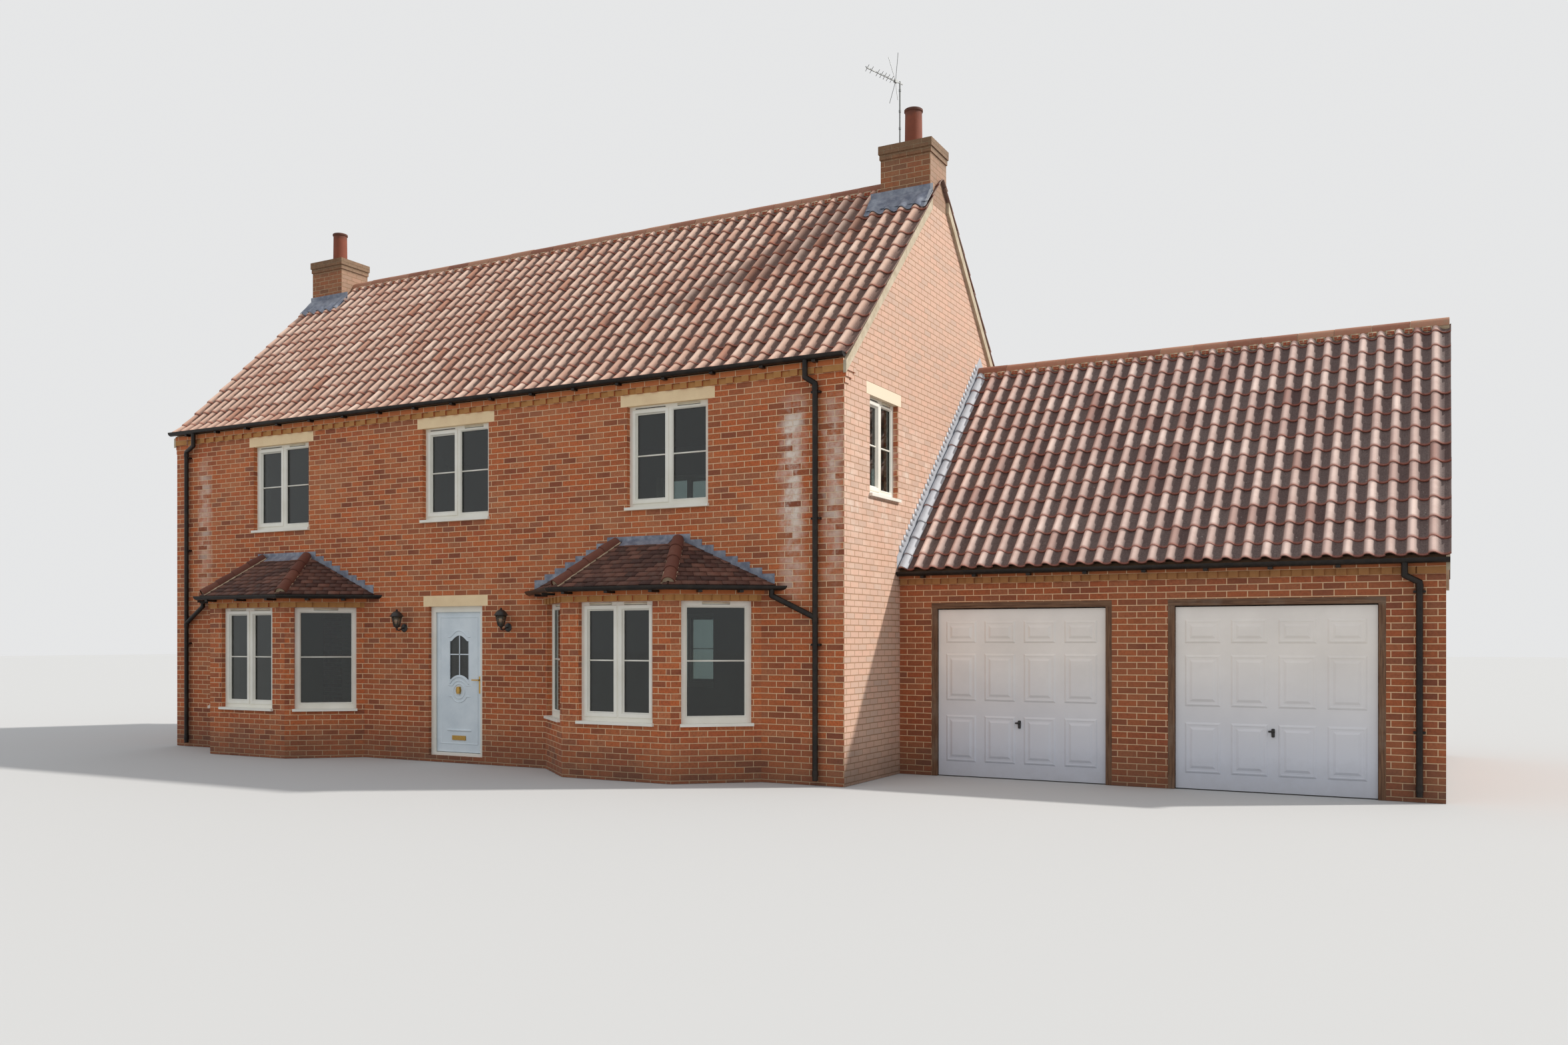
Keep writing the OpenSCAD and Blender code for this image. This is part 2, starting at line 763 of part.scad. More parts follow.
module at_bay_windows(axis) {
    translate([axis, 0, bay_win_z]) {
        on_bay_front() translate([bay_win_x, 0, 0]) children(0);
        on_bay_right() translate([cant_win_x, 0, 0]) children(1);
        on_bay_left() translate([cant_win_x, 0, 0]) children(1);
    }
}

bay_win_h = bay_win_top - bay_win_z;
module upper_windows() {
    color(upvc) for (axis = win_axes)
        at_front(axis, upper_win_z, upper_win_w) window_frame(upper_win_w, upper_win_h, 2);
}

module bay_windows() {
    color(upvc) for (axis = [left_bay_axis, right_bay_axis]) at_bay_windows(axis) {
        window_frame(bay_win_w, bay_win_h, 2);
        window_frame(cant_win_w, bay_win_h, 1);
    }
}

module gable_windows() {
    color(upvc) {
        at_left_gable(gable_win_z) window_frame(gable_win_w, gable_win_h, 2);
        at_right_gable(gable_win_z) window_frame(gable_win_w, gable_win_h, 2);
    }
}

module rear_windows() {
    color(upvc) for (axis = win_axes, z = [rear_ground_win_z, upper_win_z])
        at_rear(axis, z, upper_win_w) window_frame(upper_win_w, upper_win_h, 2);
}

module window_sills() {
    color(upvc) {
        for (axis = win_axes) at_front(axis, upper_win_z, upper_win_w) window_sill(upper_win_w);
        for (axis = win_axes, z = [rear_ground_win_z, upper_win_z])
            at_rear(axis, z, upper_win_w) window_sill(upper_win_w);
        at_left_gable(gable_win_z) window_sill(gable_win_w);
        at_right_gable(gable_win_z) window_sill(gable_win_w);
        for (axis = [left_bay_axis, right_bay_axis]) at_bay_windows(axis) {
            window_sill(bay_win_w);
            window_sill(cant_win_w);
        }
    }
}

module upper_glass() {
    color(glass) {
        for (axis = win_axes) {
            at_front(axis, upper_win_z, upper_win_w) window_glass(upper_win_w, upper_win_h, 2);
            at_rear(axis, upper_win_z, upper_win_w) window_glass(upper_win_w, upper_win_h, 2);
        }
        at_left_gable(gable_win_z) window_glass(gable_win_w, gable_win_h, 2);
        at_right_gable(gable_win_z) window_glass(gable_win_w, gable_win_h, 2);
    }
}

module ground_glass() {
    color(glass) {
        for (axis = win_axes)
            at_rear(axis, rear_ground_win_z, upper_win_w) window_glass(upper_win_w, upper_win_h, 2);
        for (axis = [left_bay_axis, right_bay_axis]) at_bay_windows(axis) {
            window_glass(bay_win_w, bay_win_h, 2);
            window_glass(cant_win_w, bay_win_h, 1);
        }
    }
}

// Front door set: the frame has an outer lip that the leaf closes behind
door_frame_w = 62;
door_lip = 14;
door_lip_t = 22;
door_frame_d = door_lip_t + door_gap + leaf_t;
leaf_x0 = door_x0 + door_frame_w + door_gap;
leaf_x1 = door_x1 - door_frame_w - door_gap;
leaf_z0 = threshold_z + door_gap;
leaf_z1 = door_head_z - door_frame_w - door_gap;
leaf_y0 = door_reveal + door_lip_t + door_gap;
leaf_y1 = leaf_y0 + leaf_t;
door_frame_y1 = door_reveal + door_frame_d;

// Hinge line at the room side of the leaf's left edge
hinge_x = leaf_x0 - door_gap / 2;
hinge_y = leaf_y1 + 10;
hinge_zs = [leaf_z0 + 220, (leaf_z0 + leaf_z1) / 2, leaf_z1 - 220];
knuckle_r = 9;
knuckle_h = 60;
hinge_flag_t = 3;

module door_frame() {
    color(upvc) {
        difference() {
            block([door_x0, door_reveal, step_z], [door_x1, door_frame_y1, door_head_z]);
            block([door_x0 + door_frame_w, door_reveal - 1, threshold_z],
                [door_x1 - door_frame_w, door_frame_y1 + 1, door_head_z - door_frame_w]);
        }
        difference() {
            block([door_x0 + door_frame_w - 1, door_reveal, threshold_z],
                [door_x1 - door_frame_w + 1, door_reveal + door_lip_t, door_head_z - door_frame_w + 1]);
            block([leaf_x0 + door_lip, door_reveal - 1, threshold_z - 1],
                [leaf_x1 - door_lip, door_reveal + door_lip_t + 1, leaf_z1 - door_lip]);
        }
        for (z = hinge_zs) {
            translate([hinge_x, hinge_y, z - knuckle_h]) cylinder(h = 2 * knuckle_h, r = pin_r);
            for (s = [-1, 1]) translate([hinge_x, hinge_y, z + s * knuckle_h * 3 / 4 - knuckle_h / 4 + s * 0.3])
                cylinder(h = knuckle_h / 2 - 0.3, r = knuckle_r);
            for (s = [-1, 1]) {
                zc = z + s * (knuckle_h * 3 / 4 + 0.3);
                block([door_x0 + 15, door_frame_y1, zc - knuckle_h / 4], [hinge_x, door_frame_y1 + hinge_flag_t, zc + knuckle_h / 4]);
            }
        }
    }
}

// The leaf's glazed light: a tall pane whose head and foot scene detail refines
light_w = 350;
light_z0 = 1170;
light_z1 = 1850;
door_mid = (leaf_x0 + leaf_x1) / 2;
module front_door() {
    color(upvc) difference() {
        union() {
            block([leaf_x0, leaf_y0, leaf_z0], [leaf_x1, leaf_y1, leaf_z1]);
            for (z = hinge_zs) {
                translate([hinge_x, hinge_y, z - knuckle_h / 2]) cylinder(h = knuckle_h, r = knuckle_r);
                block([hinge_x, leaf_y1, z - knuckle_h / 2], [leaf_x0 + 30, leaf_y1 + hinge_flag_t, z + knuckle_h / 2]);
                block([hinge_x, leaf_y1, z - knuckle_h / 2], [hinge_x + hinge_flag_t, hinge_y, z + knuckle_h / 2]);
            }
        }
        block([door_mid - light_w / 2, leaf_y0 - 1, light_z0], [door_mid + light_w / 2, leaf_y1 + 1, light_z1]);
        for (z = hinge_zs) translate([hinge_x, hinge_y, z - knuckle_h]) cylinder(h = 2 * knuckle_h, r = pin_r + pin_gap);
    }
}

module door_glass() {
    inset = (leaf_t - glass_t) / 2;
    color(glass) block([door_mid - light_w / 2, leaf_y0 + inset, light_z0],
        [door_mid + light_w / 2, leaf_y0 + inset + glass_t, light_z1]);
}

handle_z = 1130;
handle_x = leaf_x1 - 42;
letter_z = 345;
knocker_z = 1020;
module door_furniture() {
    color(brass) {
        block([handle_x - 17, leaf_y0 - 9, handle_z - 150], [handle_x + 17, leaf_y0, handle_z + 90]);
        translate([handle_x, leaf_y0 - 45, handle_z + 40]) rotate([-90, 0, 0]) cylinder(h = 40, r = 9);
        block([handle_x - 115, leaf_y0 - 54, handle_z + 31], [handle_x + 9, leaf_y0 - 40, handle_z + 49]);
        block([door_mid - 125, leaf_y0 - 12, letter_z - 32], [door_mid + 125, leaf_y0, letter_z + 32]);
        block([door_mid - 28, leaf_y0 - 30, knocker_z - 50], [door_mid + 28, leaf_y0, knocker_z + 50]);
    }
}

// Coach lanterns on cranked brackets either side of the door
lantern_dx = 970;
lantern_z = 1860;
lantern_out = 150;
module lantern(x) {
    translate([x, 0, lantern_z]) {
        translate([0, 0, 45]) rotate([90, 0, 0]) cylinder(h = 22, r = 55);
        block([-9, -lantern_out, 0], [9, -20, 18]);
        translate([0, -lantern_out, 0]) cylinder(h = 60, r = 16);
        translate([0, -lantern_out, 60]) cylinder(h = 150, r1 = 42, r2 = 72, $fn = 6);
        translate([0, -lantern_out, 210]) cylinder(h = 70, r1 = 92, r2 = 30, $fn = 6);
        translate([0, -lantern_out, 280]) cylinder(h = 30, r1 = 14, r2 = 6);
    }
}

module wall_lanterns() {
    color(black_plastic) for (s = [-1, 1]) lantern(door_axis + s * lantern_dx);
}

// Gutters: half-round channels with stop ends, on brackets let into the oversailing course
gutter_z = eaves_z + gutter_up;
garage_gutter_z = garage_eaves_z + garage_gutter_up;
bay_gutter_z = bay_wall_z + 30;
module gutter_section() {
    difference() {
        intersection() {
            circle(gutter_r);
            translate([-gutter_r, -gutter_r]) square([2 * gutter_r, gutter_r]);
        }
        intersection() {
            circle(gutter_r - gutter_t);
            translate([-gutter_r, -gutter_r]) square([2 * gutter_r, gutter_r + 1]);
        }
    }
}

module gutter_along_x(x0, x1, y, z) {
    translate([x0, y, z]) rotate([90, 0, 90]) linear_extrude(x1 - x0) gutter_section();
    for (x = [x0, x1 - gutter_t]) translate([x, y, z]) rotate([90, 0, 90]) linear_extrude(gutter_t)
        intersection() {
            circle(gutter_r);
            translate([-gutter_r, -gutter_r]) square([2 * gutter_r, gutter_r]);
        }
}

// Downpipes and the outlets over them
left_pipe_x = 312;
left_outlet_x = 524;
right_pipe_x = main_w - 356;
right_outlet_x = main_w - 476;
garage_pipe_x = garage_end_x - 250;
garage_outlet_x = garage_end_x - 392;

// Brackets under a gutter at (y, z), reaching to the course at y_seat
bracket_w = 50;
bracket_h = 26;
bracket_pitch = 750;
module gutter_brackets(x0, x1, y, z, y_seat, outlets = []) {
    count = ceil((x1 - x0) / bracket_pitch);
    y_far = y + (y > y_seat ? 20 : -20);
    for (i = [0 : count - 1]) {
        x = x0 + (x1 - x0) * (i + 0.5) / count;
        near = min([for (outlet = concat(outlets, [-bracket_pitch])) abs(x - outlet)]);
        if (near > 2 * pipe_r) block([x - bracket_w / 2, min(y_far, y_seat), z - gutter_r - bracket_h],
            [x + bracket_w / 2, max(y_far, y_seat), z - gutter_r + 2]);
    }
}

// Bracket of a bay gutter, from the oversailing course out under the channel
module bay_bracket() {
    block([-bracket_w / 2, -bay_gutter_out - 20, -gutter_r - bracket_h], [bracket_w / 2, -corbel_out, -gutter_r + 2]);
}

// Gutter round three sides of a bay, mitred at the splays and clipped to the roof edge
module bay_gutter(axis) {
    out = bay_gutter_out;
    corner = [bay_hx + out * corner_in, -bay_out - out, 0];
    side_l = (bay_out + out) * foot_in;
    big = 4 * gutter_r;
    joint = 0.15;
    translate([axis, 0, bay_gutter_z]) {
        difference() {
            translate([-corner[0] - big, corner[1], 0]) rotate([90, 0, 90])
                linear_extrude(2 * corner[0] + 2 * big) gutter_section();
            for (s = [0, 1]) mirror([s, 0, 0]) translate(corner) rotate([0, 0, cant_angle / 2])
                translate([-joint, -2 * big, -big]) cube([4 * big, 4 * big, 2 * big]);
        }
        for (s = [0, 1]) mirror([s, 0, 0]) difference() {
            translate(corner) rotate([0, 0, cant_angle]) translate([-big, 0, 0]) rotate([90, 0, 90])
                linear_extrude(side_l + 2 * big) gutter_section();
            translate(corner) rotate([0, 0, cant_angle / 2])
                translate([-4 * big + joint, -2 * big, -big]) cube([4 * big, 4 * big, 2 * big]);
            translate([0, -gutter_clear, -big]) cube([2 * bay_half, 4 * big, 2 * big]);
        }
        for (x = [-0.8, 0, 0.8]) translate([x * bay_hx, -bay_out, 0]) bay_bracket();
        for (s = [0, 1], f = [0.3, 0.75]) mirror([s, 0, 0]) translate([bay_hx, -bay_out, 0])
            rotate([0, 0, cant_angle]) translate([cant_l * f, 0, 0]) bay_bracket();
    }
}

module gutters() {
    y0 = -gutter_axis_out;
    y1 = main_d + gutter_axis_out;
    y2 = garage_back - gutter_axis_out;
    y3 = garage_end_y + gutter_axis_out;
    x1 = main_w + verge_out;
    x2 = garage_end_x + verge_out;
    roof_here = garage_eaves_z + (garage_end_y - main_d) * slope + deck_v + lead_up;
    x1_rear = garage_end_y > main_d && roof_here > gutter_z - gutter_r - bracket_h ? main_w : x1;
    color(black_plastic) {
        gutter_along_x(-verge_out, x1, y0, gutter_z);
        gutter_brackets(0, main_w, y0, gutter_z, -corbel_out, [left_outlet_x, right_outlet_x]);
        gutter_along_x(-verge_out, x1_rear, y1, gutter_z);
        gutter_brackets(wall_t, main_w - wall_t, y1, gutter_z, main_d + corbel_out);
        gutter_along_x(main_w + lead_t + gutter_clear, x2, y2, garage_gutter_z);
        gutter_brackets(main_w, garage_end_x, y2, garage_gutter_z, garage_back - corbel_out, [garage_outlet_x]);
        gutter_along_x(main_w, x2, y3, garage_gutter_z);
        gutter_brackets(main_w, garage_end_x - wall_t, y3, garage_gutter_z, garage_end_y + corbel_out);
        bay_gutter(left_bay_axis);
        bay_gutter(right_bay_axis);
    }
}

// Downpipe with a swan neck: outlet under the gutter, crank back to the wall, then straight down
pipe_wall_gap = 22;
pipe_foot_z = 60;
module pipe_between(a, b) {
    v = b - a;
    l = norm(v);
    translate(a) rotate([0, acos(v[2] / l), atan2(v[1], v[0])]) cylinder(h = l, r = pipe_r);
    translate(a) sphere(pipe_r);
    translate(b) sphere(pipe_r);
}

module downpipe(x_top, x_low, face_y, z_gutter, neck) {
    y_out = face_y - gutter_axis_out;
    y_in = face_y - pipe_wall_gap - pipe_r;
    z_top = z_gutter - gutter_r + 10;
    z_a = z_gutter - neck;
    z_b = z_a - neck_drop;
    difference() {
        translate([x_top, y_out, z_a]) cylinder(h = z_top - z_a, r = pipe_r);
        translate([x_top - 2 * pipe_r, y_out, z_gutter]) rotate([0, 90, 0])
            cylinder(h = 4 * pipe_r, r = gutter_r + 0.3);
    }
    pipe_between([x_top, y_out, z_a], [x_low, y_in, z_b]);
    translate([x_low, y_in, pipe_foot_z]) cylinder(h = z_b - pipe_foot_z, r = pipe_r);
    for (z = [z_b - 98 : -1505 : 200])
        block([x_low - 60, y_in, z - 12], [x_low + 60, face_y, z + 12]);
}

// Branch from the end of a bay gutter, s = 1 on the bay's right, down to the pipe at x_low
branch_wall_y = -75;
branch_drop = 120;
branch_fall = 390;
module bay_branch(axis, s, x_low) {
    out = bay_gutter_out;
    along = (branch_wall_y + bay_out + out) / sin(cant_angle);
    x = axis + s * (bay_hx + out * corner_in + along * cos(cant_angle));
    z_top = bay_gutter_z - gutter_r + 10;
    z_a = bay_gutter_z - branch_drop;
    difference() {
        translate([x, branch_wall_y, z_a]) cylinder(h = z_top - z_a, r = pipe_r);
        translate([x, branch_wall_y, bay_gutter_z]) rotate([0, 0, s * cant_angle]) rotate([0, 90, 0])
            cylinder(h = 4 * pipe_r, r = gutter_r + 0.3, center = true);
    }
    pipe_between([x, branch_wall_y, z_a], [x_low, -pipe_wall_gap - pipe_r, bay_gutter_z - branch_fall]);
}

neck_drop = 80;
module downpipes() {
    color(black_plastic) {
        downpipe(left_outlet_x, left_pipe_x, 0, gutter_z, 250);
        downpipe(right_outlet_x, right_pipe_x, 0, gutter_z, 250);
        bay_branch(left_bay_axis, -1, left_pipe_x);
        bay_branch(right_bay_axis, 1, right_pipe_x);
        downpipe(garage_outlet_x, garage_pipe_x, garage_back, garage_gutter_z, 180);
    }
}

// Garage: front piers, beam over the doors, side, rear and inner walls
garage_open_w = garage_leaf_w + 2 * garage_side_gap + 2 * garage_frame_w;
g1_x0 = main_w + garage_pier_w;
g1_x1 = g1_x0 + garage_open_w;
g2_x0 = g1_x1 + garage_mid_pier_w;
g2_x1 = g2_x0 + garage_open_w;
garage_head_z = garage_leaf_z + garage_leaf_h + garage_head_gap + garage_frame_w;
garage_y1 = garage_back + wall_t;

module garage_piers() {
    color(brick) {
        block([main_w, garage_back, 0], [g1_x0, garage_y1, garage_head_z]);
        block([g1_x1, garage_back, 0], [g2_x0, garage_y1, garage_head_z]);
        block([g2_x1, garage_back, 0], [garage_end_x - wall_t, garage_y1, garage_head_z]);
    }
}

module garage_front_beam() {
    color(brick) {
        run_x(main_w, garage_end_x - wall_t) polygon([
            [garage_back, garage_head_z], [garage_y1, garage_head_z],
            [garage_y1, garage_eaves_z + wall_t * slope], [garage_back, garage_eaves_z]]);
        translate([0, garage_back, 0]) eaves_courses(main_w, garage_end_x - wall_t, garage_eaves_z);
    }
}

module garage_side_wall() {
    mid = garage_d / 2;
    color(brick) {
        translate([0, garage_back, 0]) run_x(garage_end_x - wall_t, garage_end_x) polygon([
            [0, 0], [garage_d, 0], [garage_d, garage_eaves_z], [mid, garage_ridge_z], [0, garage_eaves_z]]);
        block([garage_end_x - wall_t, garage_back - corbel_out, garage_eaves_z - 2 * course],
            [garage_end_x, garage_back, garage_eaves_z]);
    }
}

// Rear wall with the short return that closes the garage behind the main house
module garage_rear_wall() {
    y0 = garage_end_y - wall_t;
    color(brick) {
        run_x(main_w, garage_end_x - wall_t) polygon([
            [y0, 0], [garage_end_y, 0], [garage_end_y, garage_eaves_z], [y0, garage_eaves_z + wall_t * slope]]);
        translate([0, garage_end_y, 0]) mirror([0, 1, 0])
            eaves_courses(main_w, garage_end_x - wall_t, garage_eaves_z);
        if (garage_end_y - wall_t > main_d)
            run_x(main_w, main_w + wall_t) polygon([
                [main_d, 0], [y0 + 1, 0], [y0 + 1, garage_eaves_z + (wall_t - 1) * slope],
                [main_d, garage_eaves_z + (garage_end_y - main_d) * slope]]);
    }
}

module garage_floor() {
    color(floor_grey) difference() {
        block([main_w, garage_back + garage_frame_d, 0], [garage_end_x - wall_t, garage_end_y - wall_t, garage_floor_z]);
        block([main_w - 1, garage_back, -1], [g1_x0, garage_y1, garage_floor_z + 1]);
        block([g1_x1, garage_back, -1], [g2_x0, garage_y1, garage_floor_z + 1]);
        block([g2_x1, garage_back, -1], [garage_end_x, garage_y1, garage_floor_z + 1]);
        block([main_w - 1, main_d, -1], [main_w + wall_t, garage_end_y, garage_floor_z + 1]);
    }
}

// The garage roof butts against the gable; its rear slope covers the return wall
module garage_front_slope() {
    color(clay) translate([0, garage_back, 0]) run_x(main_w, garage_end_x) slope_outline(garage_d, garage_eaves_z);
}

module garage_rear_slope() {
    color(clay) translate([0, garage_end_y, 0]) mirror([0, 1, 0])
        run_x(main_w, garage_end_x) slope_outline(garage_d, garage_eaves_z);
}

module garage_ridge() {
    color(clay) ridge(main_w, garage_end_x + verge_out, garage_ridge_y, garage_ridge_z + deck_v);
}

// Timber frames round the garage doors, with the fixed pivots of the lifting gear
pivot_z = garage_leaf_z + arm_pivot_h;
pivot_y = garage_back + arm_y;
foot_pivot_z = pivot_z - arm_l;
leaf_back_y = garage_back + garage_leaf_back + garage_leaf_t;
arm_inset = 26;
bracket_t = 5.5;
module garage_frame(x0) {
    x1 = x0 + garage_open_w;
    y0 = garage_back;
    y1 = garage_back + garage_frame_d;
    head = garage_head_z - garage_frame_w;
    color(timber) difference() {
        block([x0, y0, 0], [x1, y1, garage_head_z]);
        block([x0 + garage_frame_w, y0 - 1, -1], [x1 - garage_frame_w, y1 + 1, head]);
    }
    color(steel) {
        pivot_bracket(x0 + garage_frame_w, 1);
        pivot_bracket(x1 - garage_frame_w, -1);
    }
}

// Bracket on the back of a jamb at x, reaching behind the leaf to a pin; s is the way inwards
module pivot_bracket(x, s) {
    y1 = garage_back + garage_frame_d;
    a = arm_inset - 0.5;
    half = 40;
    translate([x, 0, pivot_z]) mirror([s < 0 ? 1 : 0, 0, 0]) {
        block([-45, y1, -half], [-6, y1 + 12, half]);
        block([-12, y1 + 7, -half], [a, y1 + 12, half]);
        block([a - bracket_t, y1 + 7, -half], [a, arm_y + garage_back + 20, half]);
        translate([a - 1, pivot_y, 0]) rotate([0, 90, 0]) cylinder(h = arm_t + 5, r = pin_r);
    }
}

module garage_door_frames() {
    garage_frame(g1_x0);
    garage_frame(g2_x0);
}

// Up-and-over leaf: a pressed skin with rows of raised panels, on a rim and three upright ribs
panel_cols = 4;
panel_side = 125;
panel_gap = 150;
panel_rows = [[200, 550], [975, 557], [1707, 235]];
panel_out = 8;
leaf_skin = 2;
leaf_rim = 50;
rib_w = 40;
panel_w = (garage_leaf_w - 2 * panel_side - (panel_cols - 1) * panel_gap) / panel_cols;
handle_h = 690;
module leaf_panels(grow, y0, y1) {
    for (i = [0 : panel_cols - 1], row = panel_rows) {
        x = panel_side + i * (panel_w + panel_gap);
        block([x - grow, y0, row[0] - grow], [x + panel_w + grow, y1, row[0] + row[1] + grow]);
    }
}

module garage_leaf(x0) {
    translate([x0 + garage_frame_w + garage_side_gap, garage_back + garage_leaf_back, garage_leaf_z]) {
        color(door_white) {
            difference() {
                union() {
                    block([0, 0, 0], [garage_leaf_w, garage_leaf_t, garage_leaf_h]);
                    leaf_panels(0, -panel_out, 1);
                }
                block([leaf_rim, leaf_skin, leaf_rim],
                    [garage_leaf_w - leaf_rim, garage_leaf_t + 1, garage_leaf_h - leaf_rim]);
                leaf_panels(-leaf_skin, leaf_skin - panel_out, garage_leaf_t);
            }
            for (i = [1 : panel_cols - 1]) {
                x = panel_side + i * (panel_w + panel_gap) - panel_gap / 2;
                block([x - rib_w / 2, leaf_skin - 1, leaf_rim - 1], [x + rib_w / 2, garage_leaf_t, garage_leaf_h - leaf_rim + 1]);
            }
        }
        color(black_plastic) translate([garage_leaf_w / 2, 1, handle_h]) {
            rotate([90, 0, 0]) cylinder(h = 24, r = 14);
            block([-16, -12, -60], [16, 0, 30]);
            block([-45, -34, -8], [16, -22, 12]);
        }
    }
    color(steel) {
        leaf_bracket(x0 + garage_frame_w, 1);
        leaf_bracket(x0 + garage_open_w - garage_frame_w, -1);
    }
}

module leaf_bracket(x, s) {
    a = arm_inset + arm_t + 0.5;
    half = 40;
    translate([x, 0, foot_pivot_z]) mirror([s < 0 ? 1 : 0, 0, 0]) {
        block([a, leaf_back_y - 1, -half], [a + bracket_t, pivot_y + 20, half]);
        translate([a + 1 - arm_t - 6, pivot_y, 0]) rotate([0, 90, 0]) cylinder(h = arm_t + 6, r = pin_r);
    }
}

module garage_door_left() {
    garage_leaf(g1_x0);
}

module garage_door_right() {
    garage_leaf(g2_x0);
}

// A pair of lifting arms, hanging straight down behind the leaf's edges
module lift_arm(x, s) {
    translate([x, pivot_y, 0]) mirror([s < 0 ? 1 : 0, 0, 0]) difference() {
        union() {
            block([arm_inset, -arm_w / 2, foot_pivot_z], [arm_inset + arm_t, arm_w / 2, pivot_z]);
            for (z = [foot_pivot_z, pivot_z])
                translate([arm_inset, 0, z]) rotate([0, 90, 0]) cylinder(h = arm_t, r = arm_w / 2);
        }
        for (z = [foot_pivot_z, pivot_z])
            translate([arm_inset - 1, 0, z]) rotate([0, 90, 0]) cylinder(h = arm_t + 2, r = pin_r + pin_gap);
    }
}

module left_lift_arms() {
    color(steel) {
        lift_arm(g1_x0 + garage_frame_w, 1);
        lift_arm(g1_x1 - garage_frame_w, -1);
    }
}

module right_lift_arms() {
    color(steel) {
        lift_arm(g2_x0 + garage_frame_w, 1);
        lift_arm(g2_x1 - garage_frame_w, -1);
    }
}

// Lead: flashing up the gable over both garage slopes, an apron below each chimney, and aprons
// and stepped flashings where the bay roofs meet the wall
lead_t = 4;
lead_up = 260;
lead_foot = 100;
apron_side = 150;
apron_down = 190;
apron_up = 110;
module chimney_apron(x0, x1) {
    z = eaves_z + chimney_y0 * slope + deck_v + tile_v;
    run_x(x0, x1) polygon([[chimney_y0, z - lead_t], [chimney_y0, z + apron_up],
        [chimney_y0 - lead_t, z + apron_up], [chimney_y0 - lead_t, z],
        [chimney_y0 - apron_down, z - (apron_down - lead_t) * slope],
        [chimney_y0 - apron_down, z - (apron_down - lead_t) * slope - 2 * lead_t]]);
}

bay_lead_up = 75;
bay_lead_down = 120;
module bay_lead(axis) {
    half = bay_roof_top_w / 2;
    z_foot = bay_wall_z + bay_eave_edge;
    steps = round((bay_ridge_z - z_foot) / course);
    rise = (bay_ridge_z - z_foot) / steps;
    run = (bay_half + bay_roof_out * foot_in - half) / steps;
    grade = (bay_ridge_z - z_foot) / (bay_out + bay_roof_out);
    x_in = half - hip_r - 10;
    translate([axis, 0, 0]) {
        difference() {
            union() {
                block([-half - run, -lead_t, bay_ridge_z - 20], [half + run, 0, bay_ridge_z + bay_lead_up]);
                for (s = [0, 1], i = [1 : steps - 1]) mirror([s, 0, 0])
                    block([half - 20, -lead_t, bay_ridge_z - (i + 1) * rise],
                        [half + (i + 1) * run, 0, bay_ridge_z - (i - 1) * rise]);
            }
            bay_roof_form(bay_wall_z - 200, 0);
        }
        run_x(-x_in, x_in) polygon([[-lead_t + 1, bay_ridge_z], [-lead_t + 1, bay_ridge_z + 30],
            [-bay_lead_down, bay_ridge_z + 30 - bay_lead_down * grade],
            [-bay_lead_down, bay_ridge_z + 2 - bay_lead_down * grade]]);
    }
}

module lead_flashings() {
    color(lead) {
        difference() {
            translate([0, garage_back, 0]) run_x(main_w, main_w + lead_t) {
                mid = garage_d / 2;
                z = garage_eaves_z + deck_v;
                z_foot = z + tile_v - lead_foot * slope;
                polygon([[-lead_foot, z_foot], [0, z + tile_v], [0, z], [mid, z + mid * slope],
                    [garage_d, z], [garage_d, z + lead_up],
                    [mid, z + mid * slope + lead_up], [-lead_foot, z_foot + lead_up - tile_v]]);
            }
            block([main_w - 1, main_d, 0], [main_w + 10, garage_end_y + 1, garage_ridge_z + 500]);
            translate([main_w - 1, garage_ridge_y, garage_ridge_z + deck_v + tile_v - ridge_r])
                rotate([0, 90, 0]) cylinder(h = lead_t + 2, r = ridge_r + 0.3);
        }
        chimney_apron(-verge_out, left_stack_x[1] + apron_side);
        chimney_apron(right_stack_x[0] - apron_side, main_w + verge_out);
        bay_lead(left_bay_axis);
        bay_lead(right_bay_axis);
    }
}

// Television aerial on a mast clipped to the right chimney: a boom with crossed directors in
// front of a reflector of four long rods
mast_x = right_stack_x[0] + 15;
mast_y = chimney_y1 + chimney_cap_out + 20;
mast_top = chimney_top_z + 1180;
mast_r = 12;
boom_z = mast_top - 25;
boom_turn = -108;
boom_front = 720;
boom_back = 60;
director_x = [180, 260, 330, 400, 480, 610, 700];
reflector_x = 95;
module tv_aerial() {
    color(steel) {
        translate([mast_x, mast_y, chimney_cap_z + 20]) cylinder(h = mast_top - chimney_cap_z - 20, r = mast_r);
        block([mast_x - 20, chimney_y1 + chimney_cap_out, chimney_top_z - 50],
            [mast_x + 20, mast_y, chimney_top_z - 20]);
        for (z = [500, 750, 1050]) translate([mast_x, mast_y, chimney_top_z + z - 17])
            cylinder(h = 34, r = mast_r + 5);
        translate([mast_x, mast_y, boom_z]) rotate([0, 0, boom_turn]) {
            block([-boom_back, -7, -7], [boom_front, 7, 7]);
            for (x = director_x, turn = [45, -45]) translate([x, 0, 0]) rotate([turn, 0, 0])
                cylinder(h = 100, r = 4, center = true);
            for (turn = [-14, 14]) translate([reflector_x, 0, 0]) rotate([turn, 8, 0])
                cylinder(h = 380, r = 4);
            for (turn = [166, 194]) translate([reflector_x, 0, 0]) rotate([turn, -8, 0])
                cylinder(h = 320, r = 4);
            block([reflector_x - 25, -18, -22], [reflector_x + 25, 18, 22]);
        }
    }
}

